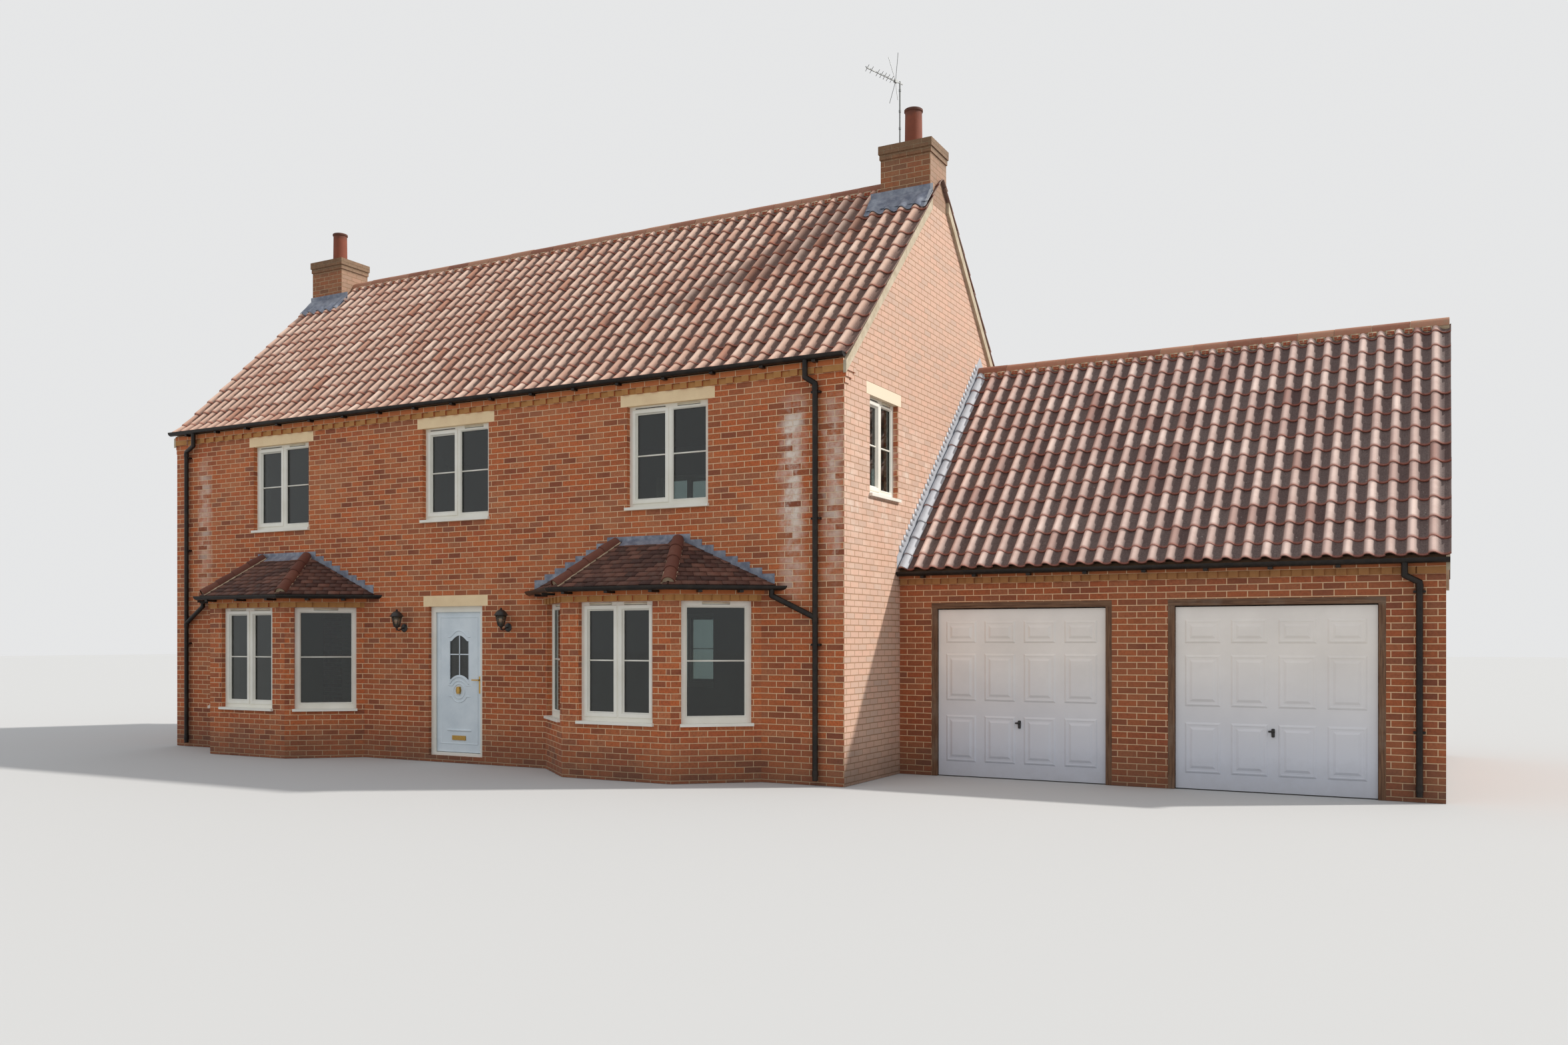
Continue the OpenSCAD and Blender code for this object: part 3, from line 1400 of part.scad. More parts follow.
shift() front_wall_left();
shift() front_wall_right();
shift() front_wall_upper();
shift() left_gable_wall();
shift() right_gable_wall();
shift() rear_wall();
shift() ground_floor();
shift() first_floor();
shift() left_bay_wall();
shift() right_bay_wall();
shift() left_bay_roof();
shift() right_bay_roof();
shift() front_roof_slope();
shift() rear_roof_slope();
shift() ridge_tiles();
shift() left_chimney();
shift() right_chimney();
shift() chimney_pots();
shift() stone_lintels();
shift() window_sills();
shift() upper_windows();
shift() bay_windows();
shift() gable_windows();
shift() rear_windows();
shift() upper_glass();
shift() ground_glass();
shift() door_frame();
shift() wall_lanterns();
shift() gutters();
shift() downpipes();
shift() garage_piers();
shift() garage_front_beam();
shift() garage_side_wall();
shift() garage_rear_wall();
shift() garage_floor();
shift() garage_front_slope();
shift() garage_rear_slope();
shift() garage_ridge();
shift() garage_door_frames();
shift() lead_flashings();
shift() verge_strips();
shift() tv_aerial();
shift() front_door();
shift() door_glass();
shift() door_furniture();
shift() garage_door_left();
shift() garage_door_right();
shift() left_lift_arms();
shift() right_lift_arms();
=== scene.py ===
import math
import bmesh
import bpy
import numpy as np
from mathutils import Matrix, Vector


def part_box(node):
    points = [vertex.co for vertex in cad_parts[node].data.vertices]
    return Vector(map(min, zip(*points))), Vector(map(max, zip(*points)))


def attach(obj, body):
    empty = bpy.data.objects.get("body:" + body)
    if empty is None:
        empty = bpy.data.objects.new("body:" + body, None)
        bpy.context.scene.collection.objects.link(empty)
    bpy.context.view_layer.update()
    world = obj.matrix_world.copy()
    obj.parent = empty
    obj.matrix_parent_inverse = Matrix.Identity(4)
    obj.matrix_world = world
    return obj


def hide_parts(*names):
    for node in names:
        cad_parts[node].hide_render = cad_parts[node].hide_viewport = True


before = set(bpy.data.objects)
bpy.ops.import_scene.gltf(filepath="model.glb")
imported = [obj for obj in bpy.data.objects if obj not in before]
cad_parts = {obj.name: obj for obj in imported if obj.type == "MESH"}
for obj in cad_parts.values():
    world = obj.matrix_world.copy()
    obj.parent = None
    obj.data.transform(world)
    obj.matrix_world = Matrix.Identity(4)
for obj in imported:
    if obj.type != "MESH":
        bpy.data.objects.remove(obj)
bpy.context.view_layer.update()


# Camera, lamp, sky and floor. The camera stands in front of the garage and looks back along the front,
# level, with its shift raising the horizon line. The sun stands behind the house on the right.
scene = bpy.context.scene
camera_data = bpy.data.cameras.new("camera")
camera_data.lens, camera_data.sensor_width, camera_data.shift_y = 28.35, 36.0, 0.0742
camera_data.clip_end = 400.0
camera = bpy.data.objects.new("camera", camera_data)
camera.location = (9.1906, -16.7198, 1.748)
camera.rotation_euler = (math.radians(90.0), 0.0, math.radians(28.212))
scene.collection.objects.link(camera)
scene.camera = camera
scene.view_settings.view_transform = "Standard"

sun_data = bpy.data.lights.new("sun", "SUN")
sun_data.energy, sun_data.angle, sun_data.color = 3.4, math.radians(2.2), (1.0, 0.965, 0.91)
sun = bpy.data.objects.new("sun", sun_data)
sun.rotation_euler = (math.radians(-24.0), math.radians(46.0), 0.0)
scene.collection.objects.link(sun)


class Value:
    """A socket of a shader that takes part in sums: each operator adds one math node"""

    def __init__(self, shader, socket):
        self.shader, self.socket = shader, socket

    def other(self, key):
        """Another output of the same node"""
        return Value(self.shader, self.socket.node.outputs[key])

    def __abs__(self):
        return self.shader.math("ABSOLUTE", self)


# value + 2.0, 1.0 - value, value > 0.5 and the like become one math node each
for sign, operation in (("add", "ADD"), ("sub", "SUBTRACT"), ("mul", "MULTIPLY"), ("pow", "POWER"),
                        ("gt", "GREATER_THAN"), ("lt", "LESS_THAN")):
    setattr(Value, f"__{sign}__", lambda a, b, kind=operation: a.shader.math(kind, a, b))
    setattr(Value, f"__r{sign}__", lambda b, a, kind=operation: b.shader.math(kind, a, b))


class Shader:
    """A material's node tree with short calls: each call makes one node and returns its output as a Value.
    Keywords are constants of its surface."""

    def __init__(self, name, roughness, **constants):
        self.material = bpy.data.materials.new(name)
        self.material.use_nodes = True
        self.tree = self.material.node_tree
        self.skin = self.tree.nodes["Principled BSDF"]
        for key, value in {"Roughness": roughness, **constants}.items():
            self.skin.inputs[key].default_value = value
        self.p = self.node("ShaderNodeTexCoord", out="Object")

    def node(self, kind, inputs=(), out=0, **settings):
        """A node of a kind, with its inputs by key and its settings, as the Value of one of its outputs"""
        n = self.tree.nodes.new(kind)
        for key, value in settings.items():
            setattr(n, key, value)
        for key, value in dict(inputs).items():
            value = getattr(value, "socket", value)
            if isinstance(value, bpy.types.NodeSocket):
                self.tree.links.new(value, n.inputs[key])
            elif n.inputs[key].type == "RGBA" and len(value) == 3:
                n.inputs[key].default_value = (*value, 1.0)
            else:
                n.inputs[key].default_value = value
        return Value(self, n.outputs[out])

    def math(self, operation, a, b=0.0, c=0.0):
        """One operation on up to three numbers"""
        return self.node("ShaderNodeMath", {0: a, 1: b, 2: c}, operation=operation)

    def mix(self, share, a, b):
        """a where share is 0, b where it is 1: sockets 6 and 7 take the colours"""
        return self.node("ShaderNodeMix", {0: share, 6: a, 7: b}, out=2, data_type="RGBA")

    def noise(self, scale, detail=3.0, roughness=0.55, at=None):
        """Noise in object coordinates, or at another vector"""
        return self.node("ShaderNodeTexNoise", {"Vector": at or self.p, "Scale": scale, "Detail": detail,
                                                "Roughness": roughness})

    def attribute(self, key):
        """A number that the mesh keeps at each corner"""
        return self.node("ShaderNodeAttribute", out="Fac", attribute_name=key)

    def ramp(self, value, *stops):
        """Colours along value: each stop is (place, colour)"""
        out = self.node("ShaderNodeValToRGB", {0: value})
        bands = out.socket.node.color_ramp.elements
        while len(bands) < len(stops):
            bands.new(0.5)
        for band, (place, colour) in zip(bands, stops):
            band.position, band.color = place, (*colour, 1.0)
        return out

    def band(self, value, low, high):
        """0 at low, 1 at high, straight between and level beyond"""
        return self.node("ShaderNodeMapRange", {0: value, 1: low, 2: high, 3: 0.0, 4: 1.0})

    def xyz(self, vector=None):
        """The three parts of a vector, or of the object coordinates"""
        parts = self.node("ShaderNodeSeparateXYZ", {0: vector or self.p})
        return [parts.other(i) for i in range(3)]

    def bump(self, height, distance, strength=1.0):
        """Tilts the light on the surface as if it rose by height times distance"""
        self.to("Normal", self.node("ShaderNodeBump", {"Height": height, "Distance": distance,
                                                       "Strength": strength}))

    def to(self, key, value):
        """Joins a value to a socket of the surface"""
        self.tree.links.new(value.socket, self.skin.inputs[key])


def rgb(red, green, blue):
    """A colour written 0 to 255 as seen, made linear: (v / 255) to the power 2.2"""
    return tuple((v / 255.0) ** 2.2 for v in (red, green, blue))


def looked_at(tree):
    """1 where a ray comes from the camera, a reflection or through glass, 0 where it carries light"""
    path = tree.nodes.new("ShaderNodeLightPath")
    total = path.outputs["Is Camera Ray"]
    for ray in ("Is Glossy Ray", "Is Transmission Ray"):
        either = tree.nodes.new("ShaderNodeMath")
        either.operation = "MAXIMUM"
        tree.links.new(total, either.inputs[0])
        tree.links.new(path.outputs[ray], either.inputs[1])
        total = either.outputs[0]
    return total


world = bpy.data.worlds.new("world")
scene.world = world
world.use_nodes = True
world_tree = world.node_tree
sky, seen = world_tree.nodes["Background"], world_tree.nodes.new("ShaderNodeBackground")
for backdrop, colour, strength in ((sky, (0.93, 0.96, 1.0, 1.0), 0.72),
                                   (seen, (0.79, 0.795, 0.80, 1.0), 1.0)):
    backdrop.inputs["Color"].default_value = colour
    backdrop.inputs["Strength"].default_value = strength
pick = world_tree.nodes.new("ShaderNodeMixShader")
for value, socket in ((looked_at(world_tree), pick.inputs[0]), (sky.outputs[0], pick.inputs[1]),
                      (seen.outputs[0], pick.inputs[2]),
                      (pick.outputs[0], world_tree.nodes["World Output"].inputs[0])):
    world_tree.links.new(value, socket)

floor_reach, floor_z = 120, -0.003
floor_paint = Shader("studio_floor", 0.9, **{"Specular IOR Level": 0.1})
floor_paint.to("Base Color", floor_paint.mix(looked_at(floor_paint.tree), (0.35, 0.35, 0.34),
                                            (0.56, 0.56, 0.555)))
floor_mesh = bpy.data.meshes.new("studio_floor")
floor_corners = [(floor_reach * i, floor_reach * j, floor_z) for i, j in ((-1, -1), (1, -1), (1, 1), (-1, 1))]
floor_mesh.from_pydata(floor_corners, [], [(0, 1, 2, 3)])
studio_floor = bpy.data.objects.new("studio_floor", floor_mesh)
floor_mesh.materials.append(floor_paint.material)
scene.collection.objects.link(studio_floor)


# Brick walls: stretcher bond of 215 by 65 mm bricks with buff joints, laid in courses of 75 mm. The two
# courses under every eaves are an ochre course of headers and an orange stretcher course.
# Sizes are metres from the foot of the main house's front left corner.
corner = np.array([-9.186, -3.555, 0.0])
main_w, main_d, eaves_z, garage_back, garage_eaves_z = 12.12, 6.24, 5.0, 1.68, 2.595
garage_w, garage_d, half_wall = 6.254, 6.24, 0.137
left_bay_axis, right_bay_axis, bay_half, bay_out, bay_turn = 2.6, 9.33, 1.67, 0.72, math.atan2(0.72, 0.85)
brick_l, course, joint, lowest_joint = 0.225, 0.075, 0.012, 0.035


def show(nodes, shader):
    """Gives carried-over nodes their finish"""
    for node in nodes:
        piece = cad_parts[node]
        piece.data.materials.clear()
        piece.data.materials.append(shader.material)


def brickwork(name, corbel_top=None, joint_z=lowest_joint, inner=(), stain=(), mortar_top=None, painted_sun=0.0,
              grime=0.0):
    """Brick by the wall's own run: u is the length along the wall, from the normal turned a quarter,
    v the height. inner lists planes (nx, ny, reach): deeper than half_wall behind all of them is plaster.
    stain lists strips between two x, and how far salts whiten them brick by brick. On faces turned to +x,
    the sunny side, the clay is paled as painted sunlight and the joints darkened as painted shadow, by the
    share given; grime dulls it all over. Above mortar_top lies a chimney's weathered cap."""
    s = Shader(name, 0.86)
    x, y, z = s.xyz()
    nx, ny, nz = s.xyz(s.node("ShaderNodeNewGeometry", out="Normal"))
    level = abs(nz) > 0.7
    upright = 1.0 - level
    u = level * x + upright * (y * nx - x * ny)
    v = level * y + upright * (z - joint_z)
    wobble = (s.noise(3.0) - 0.5) * 0.006
    bond = s.node("ShaderNodeTexBrick", {
        "Vector": s.node("ShaderNodeCombineXYZ", {0: u + wobble, 1: v + wobble}), "Color1": (0, 0, 0),
        "Color2": (1, 1, 1), "Mortar": (0.5, 0.5, 0.5), "Scale": 1.0, "Mortar Size": joint / 2,
        "Mortar Smooth": 0.25, "Bias": 0.0, "Brick Width": brick_l, "Row Height": course},
        offset=0.5, offset_frequency=2)
    joints = bond.other("Fac")
    each = s.ramp(bond, (0.0, rgb(138, 76, 52)), (0.18, rgb(172, 94, 58)), (0.36, rgb(190, 104, 60)),
                  (0.52, rgb(202, 106, 58)), (0.68, rgb(180, 94, 58)), (0.84, rgb(196, 118, 76)),
                  (1.0, rgb(148, 90, 66)))
    fine, broad = s.noise(38.0, 4.0, 0.65), s.noise(1.1, 3.0, 0.6)
    clay = s.mix(s.band(fine, 0.42, 0.72), each, s.mix(0.5, each, rgb(104, 60, 44)))
    clay = s.mix(s.band(broad, 0.45, 0.75) * 0.40, clay, rgb(206, 132, 88))
    if corbel_top:
        ends = abs(ny) > 0.5
        headers = ends * ((z > corbel_top - 2 * course) * (z < corbel_top - course))
        stretchers = ends * ((z > corbel_top - course) * (z < corbel_top + 0.002))
        clay = s.mix(headers, clay, s.mix(s.noise(9.0), rgb(168, 116, 64), rgb(204, 146, 88)))
        clay = s.mix(stretchers * 0.75, clay, rgb(204, 116, 66))
        joints = joints * (1.0 - headers)
    buff = s.mix(s.noise(26.0), rgb(226, 178, 136), rgb(244, 206, 166))
    # painted sunlight and shadow: faces turned to +x get paler clay and darker joints, as if lit by the sun
    if painted_sun:
        sunny = (nx > 0.5) * painted_sun
        clay = s.mix(sunny, clay, rgb(230, 205, 185))
        buff = s.mix(sunny, buff, rgb(120, 78, 56))
    if grime:
        clay = s.mix(grime, clay, rgb(112, 68, 50))
    wall = s.mix(joints, clay, buff)
    for low_x, high_x, most in stain:
        at = x + (s.noise(5.0) - 0.5) * 0.30
        across = s.band(at, low_x - 0.09, low_x + 0.06) * s.band(at, high_x + 0.09, high_x - 0.06)
        up = s.band(z, 1.9, 3.3) * s.band(z, 4.75, 4.35)
        salts = s.band(bond * 0.5 + s.noise(9.0, 4.0, 0.7), 0.52, 0.92)
        wall = s.mix(across * up * (salts * most), wall, rgb(244, 232, 218))
    wall = s.mix(s.band(z + broad * 0.5, 0.85, 0.25) * 0.58, wall, rgb(86, 72, 60))
    if mortar_top:
        grey = s.mix(s.noise(14.0, 4.0, 0.7), rgb(80, 62, 46), rgb(140, 116, 88))
        wall = s.mix(s.band(z, mortar_top - 0.30, mortar_top - 0.14) * 0.34 + 0.52, wall, grey)
        cap = s.mix(s.noise(20.0), rgb(120, 110, 92), rgb(178, 166, 142))
        wall = s.mix(z + nz * 0.004 > mortar_top, wall, cap)
    if inner:
        outside = [x * px + y * py - reach for px, py, reach in inner]
        depth = outside[0]
        for plane in outside[1:]:
            depth = s.math("MAXIMUM", depth, plane)
        room = depth < -half_wall
        wall = s.mix(room, wall, s.mix(s.noise(3.0), rgb(196, 188, 172), rgb(214, 206, 190)))
        joints = joints * (1.0 - room)
    s.to("Base Color", wall)
    s.to("Roughness", fine * 0.2 + 0.74)
    s.bump(1.0 - joints + fine * 0.22, 0.010)
    return s


def side_planes(x0, x1, y0, y1):
    """The four sides of a rectangular building as (nx, ny, reach), in the part's frame"""
    cx, cy, _ = corner
    return ((-1, 0, -(x0 + cx)), (1, 0, x1 + cx), (0, -1, -(y0 + cy)), (0, 1, y1 + cy))


def bay_planes(axis):
    """The three outer faces of a bay: the front, and the two splays turned by the bay's angle"""
    c, s = math.cos(bay_turn), math.sin(bay_turn)
    cx, cy = axis + corner[0], corner[1]
    reach = bay_half * s
    return ((0, -1, bay_out - cy), (s, -c, reach + s * cx - c * cy), (-s, -c, reach - s * cx - c * cy))


main_sides = side_planes(0, main_w, 0, main_d)
garage_sides = side_planes(main_w, main_w + garage_w, garage_back, garage_back + garage_d)
main_corbel, bay_corbel, stack_top = eaves_z + 0.06, 2.36, 8.65
front_salts = [(low + corner[0], high + corner[0], most)
               for low, high, most in ((0.58, 0.80, 0.4), (11.32, 11.54, 0.85), (11.92, 12.04, 0.75))]
side_salts = [(11.90 + corner[0], 12.06 + corner[0], 0.6)]
show(["front_wall_upper"], brickwork("brick_front", main_corbel, inner=main_sides, stain=front_salts))
show(["left_gable_wall", "right_gable_wall"],
     brickwork("brick_gable", main_corbel, inner=main_sides, painted_sun=0.62, stain=side_salts))
show(["rear_wall"], brickwork("brick_main", main_corbel, inner=main_sides))
show(["front_wall_left", "front_wall_right"], brickwork("brick_ground_floor", inner=main_sides, grime=0.14))
show(["garage_piers", "garage_front_beam", "garage_side_wall", "garage_rear_wall"],
     brickwork("brick_garage", garage_eaves_z, joint_z=0.045, inner=garage_sides, grime=0.36))
show(["left_chimney", "right_chimney"], brickwork("brick_chimney", mortar_top=stack_top, painted_sun=0.5))
for node, axis in (("left_bay_wall", left_bay_axis), ("right_bay_wall", right_bay_axis)):
    show([node], brickwork("brick_" + node, bay_corbel, inner=bay_planes(axis)))


# Clay pantiles on both roofs: single-lap S-shaped tiles, a roll over the edge of the next tile's pan,
# 210 mm across and 332 mm up the slope, nailed to battens. The eaves course kicks up over the gutter.
def put(name, places, faces, shader, slot, body="house", smooth=None, marks=(), weld=False, stands_for=()):
    """A mesh object from whole arrays: corner places in metres from the house corner, and quads. marks are
    attributes by corner. weld merges the corners that meet at a pole."""
    mesh = bpy.data.meshes.new(name)
    places = np.asarray(places, dtype=np.float64).reshape(-1, 3) + corner
    faces = np.asarray(faces, dtype=np.int32)
    mesh.vertices.add(len(places))
    mesh.vertices.foreach_set("co", places.astype(np.float32).ravel())
    mesh.loops.add(faces.size)
    mesh.loops.foreach_set("vertex_index", faces.ravel())
    mesh.polygons.add(len(faces))
    mesh.polygons.foreach_set("loop_start", np.arange(0, faces.size, 4, dtype=np.int32))
    mesh.update(calc_edges=True)
    mesh.validate()
    for key, values in dict(marks).items():
        mesh.attributes.new(key, "FLOAT", "POINT").data.foreach_set(
            "value", np.asarray(values, dtype=np.float32).ravel())
    if weld:
        shape = bmesh.new()
        shape.from_mesh(mesh)
        bmesh.ops.remove_doubles(shape, verts=shape.verts, dist=1e-6)
        shape.to_mesh(mesh)
        shape.free()
    if smooth is not None:
        mesh.polygons.foreach_set("use_smooth", np.ones(len(mesh.polygons), dtype=bool))
        mesh.set_sharp_from_angle(angle=math.radians(smooth))
    mesh.materials.append(shader.material)
    piece = bpy.data.objects.new(name, mesh)
    scene.collection.objects.link(piece)
    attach(piece, body)
    if stands_for:
        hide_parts(*stands_for)


def net(rows, columns, round_rows=False, round_columns=False):
    """Quads of a grid of rows by columns of corners, joined up where a direction is round"""
    i = np.arange(rows if round_rows else rows - 1)[:, None]
    j = np.arange(columns if round_columns else columns - 1)[None, :]
    i2, j2 = (i + 1) % rows, (j + 1) % columns
    quads = [i * columns + j, i * columns + j2, i2 * columns + j2, i2 * columns + j]
    return np.stack(quads, -1).reshape(-1, 4)


def two_sided(rows, columns):
    """Quads of a sheet with thickness: its face's corners by rows, then its back's, joined at the rim"""
    n = rows * columns
    rim = np.concatenate([
        np.arange(columns), np.arange(1, rows) * columns + columns - 1,
        (rows - 1) * columns + np.arange(columns - 2, -1, -1), np.arange(rows - 2, 0, -1) * columns])
    edge = np.stack([rim, np.roll(rim, -1), np.roll(rim, -1) + n, rim + n], -1)
    return np.concatenate([net(rows, columns), net(rows, columns)[:, ::-1] + n, edge[:, ::-1]])


def repeated(faces, corners, copies):
    """The faces of one shape again for each of its copies"""
    return (faces[None] + (np.arange(copies) * corners)[:, None, None]).reshape(-1, faces.shape[1])


def terracotta(name, light, deep, dark, moss):
    """Fired clay: each tile its own tone, darker in its pan as dirt and painted shade, redder at its nose,
    with a fine sandy grain and lichen spots"""
    s = Shader(name, 0.82)
    grain = s.noise(60.0, 4.0, 0.7)
    middle = tuple(0.5 * (a + b) for a, b in zip(deep, light))
    clay = s.ramp(s.attribute("tone"), (0.0, deep), (0.35, middle), (1.0, light))
    clay = s.mix(s.band(s.noise(5.0, 3.0, 0.6), 0.4, 0.75) * 0.35, clay, deep)
    # the pan is painted darker: partly dirt, partly painted shade where the rolls shade the pans
    clay = s.mix((s.attribute("low") * (grain * 0.5 + 0.62)) ** 0.75 * 0.96, clay, dark)
    clay = s.mix(s.band(s.noise(22.0, 4.0, 0.75), 0.66, 0.74) * 0.55, clay, moss)
    s.to("Base Color", s.mix(s.attribute("nose") * 0.6, clay, rgb(168, 88, 66)))
    s.bump(grain, 0.0016, 0.6)
    return s


pan_tile = terracotta("pantile", rgb(254, 220, 198), rgb(202, 146, 120), rgb(62, 36, 34), rgb(232, 222, 200))
plum_tile = terracotta("garage_pantile", rgb(254, 226, 212), rgb(180, 138, 126), rgb(52, 36, 38),
                       rgb(232, 226, 212))
gauge, head_lap, tile_t, tile_lift = 0.3323, 0.075, 0.014, 0.026
roll_at = np.array([0.0, 0.015, 0.07, 0.15, 0.24, 0.33, 0.42, 0.51, 0.61, 0.75, 0.90, 1.05])
roll_rise = np.array([-4, 22, 38, 46, 47, 41, 28, 11, -4, -10, -6, 12]) / 1000.0
chance = np.random.default_rng(41)


def pantiles(name, x0, x1, y_eaves, z_eaves, y_ridge, way, shader, columns, kick=0.0, cover=0.0, end=1.05,
             slot="clay_tile"):
    """One slope of pantiles. Across a tile the height follows a roll then a shallow pan; along it the
    tile tips up by tile_lift from head to nose. way is 1 where the slope rises with y, -1 where it falls.
    Lead dressed over the tiles is the same shape raised by cover, stopping at end across each tile."""
    first, s45 = 0.262, math.sqrt(0.5)
    pitch, slope_y = (x1 - x0) / columns, abs(y_ridge - y_eaves)
    across = np.append(roll_at[roll_at < end], end)
    rise = np.interp(across, roll_at, roll_rise) + cover
    along = np.array([[0.0], [0.5], [0.90], [0.985], [1.0]])
    tip = np.array([[0.0], [0.5], [0.90], [0.97], [0.90]]) * tile_lift
    n_a, n_l = len(across), len(along)
    rows = 1 + int(np.ceil((slope_y - 0.02 - first * s45) / (gauge * s45)))
    k, c = (m.reshape(-1, 1, 1) for m in np.meshgrid(np.arange(rows), np.arange(columns), indexing="ij"))
    n = len(k)
    nose = np.where(k > 0, first + (k - 1) * gauge, 0.0) + chance.normal(0, 0.0025, k.shape)
    head = np.minimum(nose + gauge + head_lap, slope_y / s45 - 0.01)
    left = x0 + c * pitch + chance.normal(0, 0.0012, k.shape)
    lift = chance.normal(0, 0.0016, k.shape)
    twist = chance.normal(0, 0.004, k.shape)
    side = left + pitch * across + 0 * along
    up = head + (nose - head) * along + 0 * across + twist * (across - 0.5) * along
    top = rise + tile_t + tip + lift
    u, h, x = np.stack([up, up], 1), np.stack([top, top - tile_t], 1), np.stack([side, side], 1)
    near = np.clip(1.0 - u * s45 / 0.33, 0.0, 1.0)
    places = np.stack([x, y_eaves + way * (u - h) * s45, z_eaves + (u + h) * s45 + kick * near ** 2], -1)
    faces = two_sided(n_l, n_a)
    # low marks the depth of the pan, where the clay is painted darker: partly dirt, partly painted shade
    low = np.clip(1.15 * (1.0 - (rise - cover) / roll_rise.max()), 0, 1) + np.zeros((n, 2, n_l, n_a))
    tip_red = np.array([[0.0], [0.0], [0.0], [0.8], [1.0]]) + np.zeros((n, 2, n_l, n_a))
    tones = np.repeat(np.clip(chance.normal(0.55, 0.24, n), 0, 1), 2 * n_l * n_a)
    put(name, places, repeated(faces[:, ::-1] if way > 0 else faces, 2 * n_l * n_a, n), shader, slot,
        smooth=40, marks={"tone": tones, "low": low, "nose": tip_red})


def mottled(name, roughness, patches, one, other, grain=(), metallic=0.0):
    """Two colours in patches of noise, and a grain of (noise, distance, strength) that roughens them"""
    s = Shader(name, roughness, Metallic=metallic)
    s.to("Base Color", s.mix(s.noise(*patches), rgb(*one), rgb(*other)))
    if grain:
        s.bump(s.noise(*grain[0]), *grain[1:])
    return s


roof_t, roof_edge, verge_out, main_columns, garage_columns = 0.055, 0.030, 0.042, 58, 30
garage_ridge_y, garage_x0 = garage_back + garage_d / 2, main_w + 0.006
for name, y_eaves, way in (("front_pantiles", -roof_edge, 1), ("rear_pantiles", main_d + roof_edge, -1)):
    pantiles(name, -verge_out, main_w + verge_out, y_eaves, eaves_z + roof_t - roof_edge, main_d / 2, way,
             pan_tile, kick=0.046, columns=main_columns)
garage_slopes = (("front", garage_back - roof_edge, 1), ("rear", garage_back + garage_d + roof_edge, -1))
for side, y_eaves, way in garage_slopes:
    pantiles("garage_" + side + "_pantiles", garage_x0, main_w + garage_w + verge_out, y_eaves,
             garage_eaves_z + roof_t - roof_edge, garage_ridge_y, way, plum_tile, columns=garage_columns)
felt = mottled("roof_deck", 0.9, (8.0,), (96, 74, 56), (126, 98, 74), ((40.0,), 0.002))
show(["front_roof_slope", "rear_roof_slope", "garage_front_slope", "garage_rear_slope"], felt)


# Ridge tiles: half-round clay tiles 457 mm long, butted and bedded on mortar that shows in each joint
# and along both edges. The bays' hips have the same tiles, smaller, lapped downhill.
def mortar_finish(name, pale, deep):
    """Trowelled bedding mortar, patchy and gritty"""
    s = Shader(name, 0.9)
    s.to("Base Color", s.mix(s.band(s.noise(6.0, 4.0, 0.65), 0.35, 0.7), rgb(*pale), rgb(*deep)))
    s.bump(s.noise(90.0, 4.0, 0.7) + s.noise(9.0), 0.004, 0.7)
    return s


def joined(parts):
    """Several lists of corners and faces as one"""
    first, places, faces = 0, [], []
    for corners, quads in parts:
        places.append(np.asarray(corners).reshape(-1, 3))
        faces.append(quads + first)
        first += len(places[-1])
    return np.concatenate(places), np.concatenate(faces)


def unit(vectors):
    """Each vector divided by its own length"""
    return vectors / np.linalg.norm(vectors, axis=1, keepdims=True)


def half_rounds(starts, ends, outer, outer_far, thick, reach):
    """Half-round shells, one from each start to its end: an arc of 2 * reach degrees swept straight, its
    outer radius running from outer to outer_far. Returns corner places and quads."""
    starts, ends = np.asarray(starts, float), np.asarray(ends, float)
    run = unit(ends - starts)
    side = unit(np.cross(run, (0.0, 0.0, 1.0)))
    over = np.cross(side, run)
    steps = 13
    a = np.radians(np.linspace(-reach, reach, steps))
    a = np.concatenate([a, a[::-1]])[:, None]
    spokes = np.sin(a) * side[:, None] + np.cos(a) * over[:, None]
    shell = np.repeat([0.0, thick], steps)[:, None]
    rings = [centre[:, None] + (radius - shell) * spokes
             for centre, radius in ((starts, outer), (ends, outer_far))]
    m = 2 * steps
    caps = np.array([[i, i + 1, m - 2 - i, m - 1 - i] for i in range(steps - 1)])
    faces = np.concatenate([net(2, m, round_columns=True), caps[:, ::-1], caps + m])
    return np.stack(rings, 1), repeated(faces, 2 * m, len(starts))


ridge_clay = Shader("ridge_clay", 0.85)
tone, grain = ridge_clay.attribute("tone"), ridge_clay.noise(45.0, 4.0, 0.7)
clay = ridge_clay.ramp(tone, (0.0, rgb(98, 56, 46)), (0.25, rgb(128, 78, 62)), (0.5, rgb(168, 112, 90)),
                       (1.0, rgb(190, 138, 112)))
lichen = ridge_clay.band(ridge_clay.noise(13.0, 4.0, 0.7), 0.50, 0.72) * (tone * 0.5)
clay = ridge_clay.mix(lichen, clay, rgb(170, 156, 130))
ridge_clay.to("Base Color", ridge_clay.mix(grain * 0.3, clay, rgb(84, 58, 46)))
ridge_clay.bump(grain, 0.002, 0.7)
bed = mortar_finish("ridge_mortar", (206, 186, 156), (164, 142, 114))
ridge_r, ridge_t, main_ridge_z, garage_ridge_z, stack_w = 0.115, 0.016, 8.27, 5.865, 0.744
hip_tiles, hip_r, hip_r_high, hip_t = 4, 0.088, 0.076, 0.012


